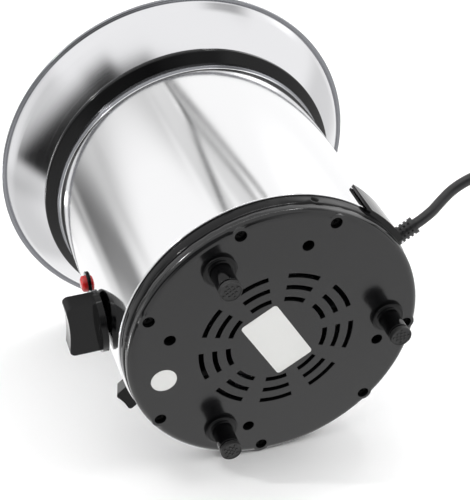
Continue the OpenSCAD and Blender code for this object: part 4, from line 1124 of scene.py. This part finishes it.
@dataclass
class Studio:
    """Camera, floor, key light and surround.

    The flags stand where the body and the bowl reflect them towards the camera.
    """

    camera_at: tuple[float, float, float] = (469.774, -194.112, -483.708)
    camera_turn: tuple[float, float, float] = (143.05055, 18.56592, 90.03604)
    focal_px: float = 1262.84
    frame_px: float = 470.0
    sensor: float = 36.0
    far: float = 20000.0
    contact_azimuth: float = 183.0
    rim: Point = (120.0, 219.0)
    edge: Point = (87.3, 22.5)
    floor_radius: float = 2600.0
    floor_segments: int = 96
    surround: float = 1.15
    aim_height: float = 110.0
    key_at: tuple[float, float, float] = (820.0, 520.0, 420.0)
    key_size: Point = (420.0, 520.0)
    key_watts: float = 3.0
    flags: tuple[Flag, ...] = (
        # The body's grey veil and its dark core
        Flag((232, 52), (280, 52.8), 2.6, 3.8, 0.58),
        Flag((282, 54.4), (342, 55.0), 2.0, 3.6, 0.64),
        Flag((265, 48), (242, 52), 3.2, 4.8, 0.27),
        Flag((205, 54.5), (236, 53.8), 1.6, 2.0, 0.6),
        # The streak down the body
        Flag((350, 57), (352, 48.5), 3.6, 2.0, 0.72),
        Flag((2, 53.5), (13, 48.5), 3.0, 1.6, 0.74),
        Flag((359, 57), (2, 54), 0.45, 0.8, 0.3),
        Flag((2, 54.2), (349, 49), 0.5, 0.8, 0.22),
        Flag((359, 57), (23.5, 48.8), 0.5, 1.0, 0.3),
        Flag((2, 54.3), (16, 48.8), 0.4, 0.9, 0.45),
        # The bowl's dark patch
        Flag((251, -14.5), (330, -36.5), 9.0, 5.0, 0.02),
        Flag((311, -37), (354, -41), 9.0, 6.0, 0.1),
        Flag((352, -41), (40, -39), 7.0, 7.0, 0.5),
        Flag((240, -4), (300, -14), 6.0, 9.0, 0.72),
        Flag((205, 12), (244, 1), 7.0, 8.0, 0.74),
        Flag((95, 6), (125, 14), 8.0, 8.0, 0.76),
        # The camera's side, and small bright lamps for the edges
        Flag((332, -78), (332, -54), 22.0, 14.0, 0.04),
        Flag((60, 12), (60, 44), 12.0, 10.0, 2.2),
        Flag((309, 18), (315, 18), 1.3, 1.3, 36.0),
        Flag((236, 17), (312, 17), 0.5, 0.5, 9.0),
        Flag((322, 17), (40, 17), 0.5, 0.5, 9.0),
        Flag((27, 22), (33, 22), 1.3, 1.3, 36.0),
        Flag((239, 24), (245, 24), 1.3, 1.3, 36.0),
        # Grey screens that the upright body shows from the side
        Flag((150, 0), (150, 34), 10.0, 9.0, 0.35),
        Flag((286, 8), (286, 34), 9.0, 8.0, 0.4),
        Flag((40, -6), (40, 34), 8.0, 8.0, 0.45),
    )

    def camera(self) -> None:
        """The camera at the photograph's place."""
        lens = bpy.data.cameras.new("camera")
        lens.sensor_width = self.sensor
        lens.sensor_fit = "HORIZONTAL"
        lens.lens = self.focal_px / self.frame_px * self.sensor
        lens.clip_end = self.far * MM
        eye = put("camera", lens)
        eye.location = Vector(self.camera_at) * MM
        eye.rotation_euler = [radians(a) for a in self.camera_turn]
        bpy.context.scene.camera = eye

    def resting_plane(self) -> tuple[Vector, Vector]:
        """A point of the plane that the unit lies on, and the plane's normal."""
        a = radians(self.contact_azimuth)
        out = Vector((cos(a), sin(a), 0))
        low = out * self.edge[0] + Vector((0, 0, self.edge[1]))
        high = out * self.rim[0] + Vector((0, 0, self.rim[1]))
        along = (high - low).normalized()
        return low * MM, (along.cross(Vector((0, 0, 1)).cross(out))).normalized() * -1

    def floor(self) -> None:
        """The pale floor that the unit lies on, seen from its upper side only."""
        point, normal = self.resting_plane()
        if normal.dot(-point) < 0:
            normal = -normal
        mesh = bmesh.new()
        bmesh.ops.create_circle(mesh, cap_ends=True, segments=self.floor_segments, radius=self.floor_radius)
        place = Matrix.Translation(point) @ normal.to_track_quat("Z", "Y").to_matrix().to_4x4()
        thing = finish_mesh("floor", mesh, place)
        thing.visible_glossy = False
        desk = FinishDesk("pale_floor", Tone.FLOOR, 0.0, 0.9)
        desk.feed(desk.shader, {"Specular IOR Level": 0.1})
        side = desk.add("ShaderNodeNewGeometry").outputs["Backfacing"]
        mix = desk.add("ShaderNodeMixShader", {
            0: side, 1: desk.shader, 2: desk.add("ShaderNodeBsdfTransparent")})
        desk.feed(desk.output, {0: mix})
        thing.data.materials.append(desk.material)
        LOG.info("floor normal %s", tuple(round(c, 3) for c in normal))

    @staticmethod
    def flagged(desk: NodeDesk, ray: NodeSocket, flag: Flag) -> Node:
        """Adds the nodes of one flag.

        Args:
            desk: The world's nodes.
            ray: Direction of the ray.
            flag: The flag.

        Returns:
            A node that gives 1 away from the flag, and its level inside it.
        """
        middle, across, along, half_length = flag.axes()
        front, aside, ahead = (
            desk.add("ShaderNodeVectorMath", {0: ray, 1: axis}, operation="DOT_PRODUCT").outputs["Value"]
            for axis in (middle, across, along))
        kind, soft = "ShaderNodeMapRange", {"interpolation_type": "SMOOTHSTEP"}
        inside = desk.add(kind, {0: front, 1: 0.0, 2: flag.FRONT, 3: 0.0, 4: 1.0}, **soft)
        for side, reach in ((aside, flag.half_width), (ahead, half_length)):
            full = sin(radians(max(0.0, reach - flag.soft / 2)))
            gone = sin(radians(reach + flag.soft))
            away = desk.add("ShaderNodeMath", {0: side}, operation="ABSOLUTE")
            edge = desk.add(kind, {0: away, 1: full, 2: gone, 3: 1.0, 4: 0.0}, **soft)
            inside = desk.add("ShaderNodeMath", {0: inside, 1: edge}, operation="MULTIPLY")
        return desk.add(kind, {0: inside, 1: 0.0, 2: 1.0, 3: 1.0, 4: flag.level})

    def sky(self) -> None:
        """A pale surround with soft flags for reflections and light, plain white to the camera."""
        world = bpy.data.worlds.new("studio_surround")
        bpy.context.scene.world = world
        world.use_nodes = True
        desk = NodeDesk(world.node_tree)
        ray = desk.add("ShaderNodeTexCoord").outputs["Generated"]
        level: float | Node = self.surround
        for flag in self.flags:
            level = desk.add("ShaderNodeMath", {0: level, 1: self.flagged(desk, ray, flag)}, operation="MULTIPLY")
        seen = desk.add("ShaderNodeLightPath").outputs["Is Camera Ray"]
        pale = desk.add("ShaderNodeMix", {0: seen, 2: level, 3: 1.0})
        desk.feed(desk.tree.nodes["Background"], {"Color": (1, 1, 1, 1), "Strength": pale})

    def key(self) -> None:
        """A soft key light up and right of the camera's picture, aimed at the object and not reflected."""
        turn = bpy.context.scene.camera.matrix_world.to_3x3()
        aim = Vector((0, 0, self.aim_height)) * MM
        at = aim + turn @ (Vector(self.key_at) * MM)
        light = bpy.data.lights.new("key", "AREA")
        light.shape = "RECTANGLE"
        light.size, light.size_y = (side * MM for side in self.key_size)
        light.energy = self.key_watts
        thing = put("key", light)
        thing.location = at
        thing.rotation_euler = (at - aim).to_track_quat("Z", "Y").to_euler()
        thing.visible_glossy = False

    def build(self) -> None:
        """Sets the whole studio up."""
        self.camera()
        self.floor()
        self.sky()
        bpy.context.view_layer.update()
        self.key()
        view = bpy.context.scene.view_settings
        view.view_transform = "Standard"
        view.look = "None"


def main() -> None:
    """Builds the studio, then the object's sub-assemblies in order."""
    logging.basicConfig(level=logging.INFO, format="%(message)s")
    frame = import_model()
    shop = Workshop(frame, Finishes())
    Studio().build()
    shop.dress_nodes()
    Lead(shop).build()
    SteelBody(shop).build()
    stamper = Stamper()
    for number, azimuth in enumerate(FOOT_AZIMUTHS, start=1):
        Foot(shop, stamper, number, azimuth).build()
    Mouldings(shop).build()


if __name__ == "__main__":
    main()
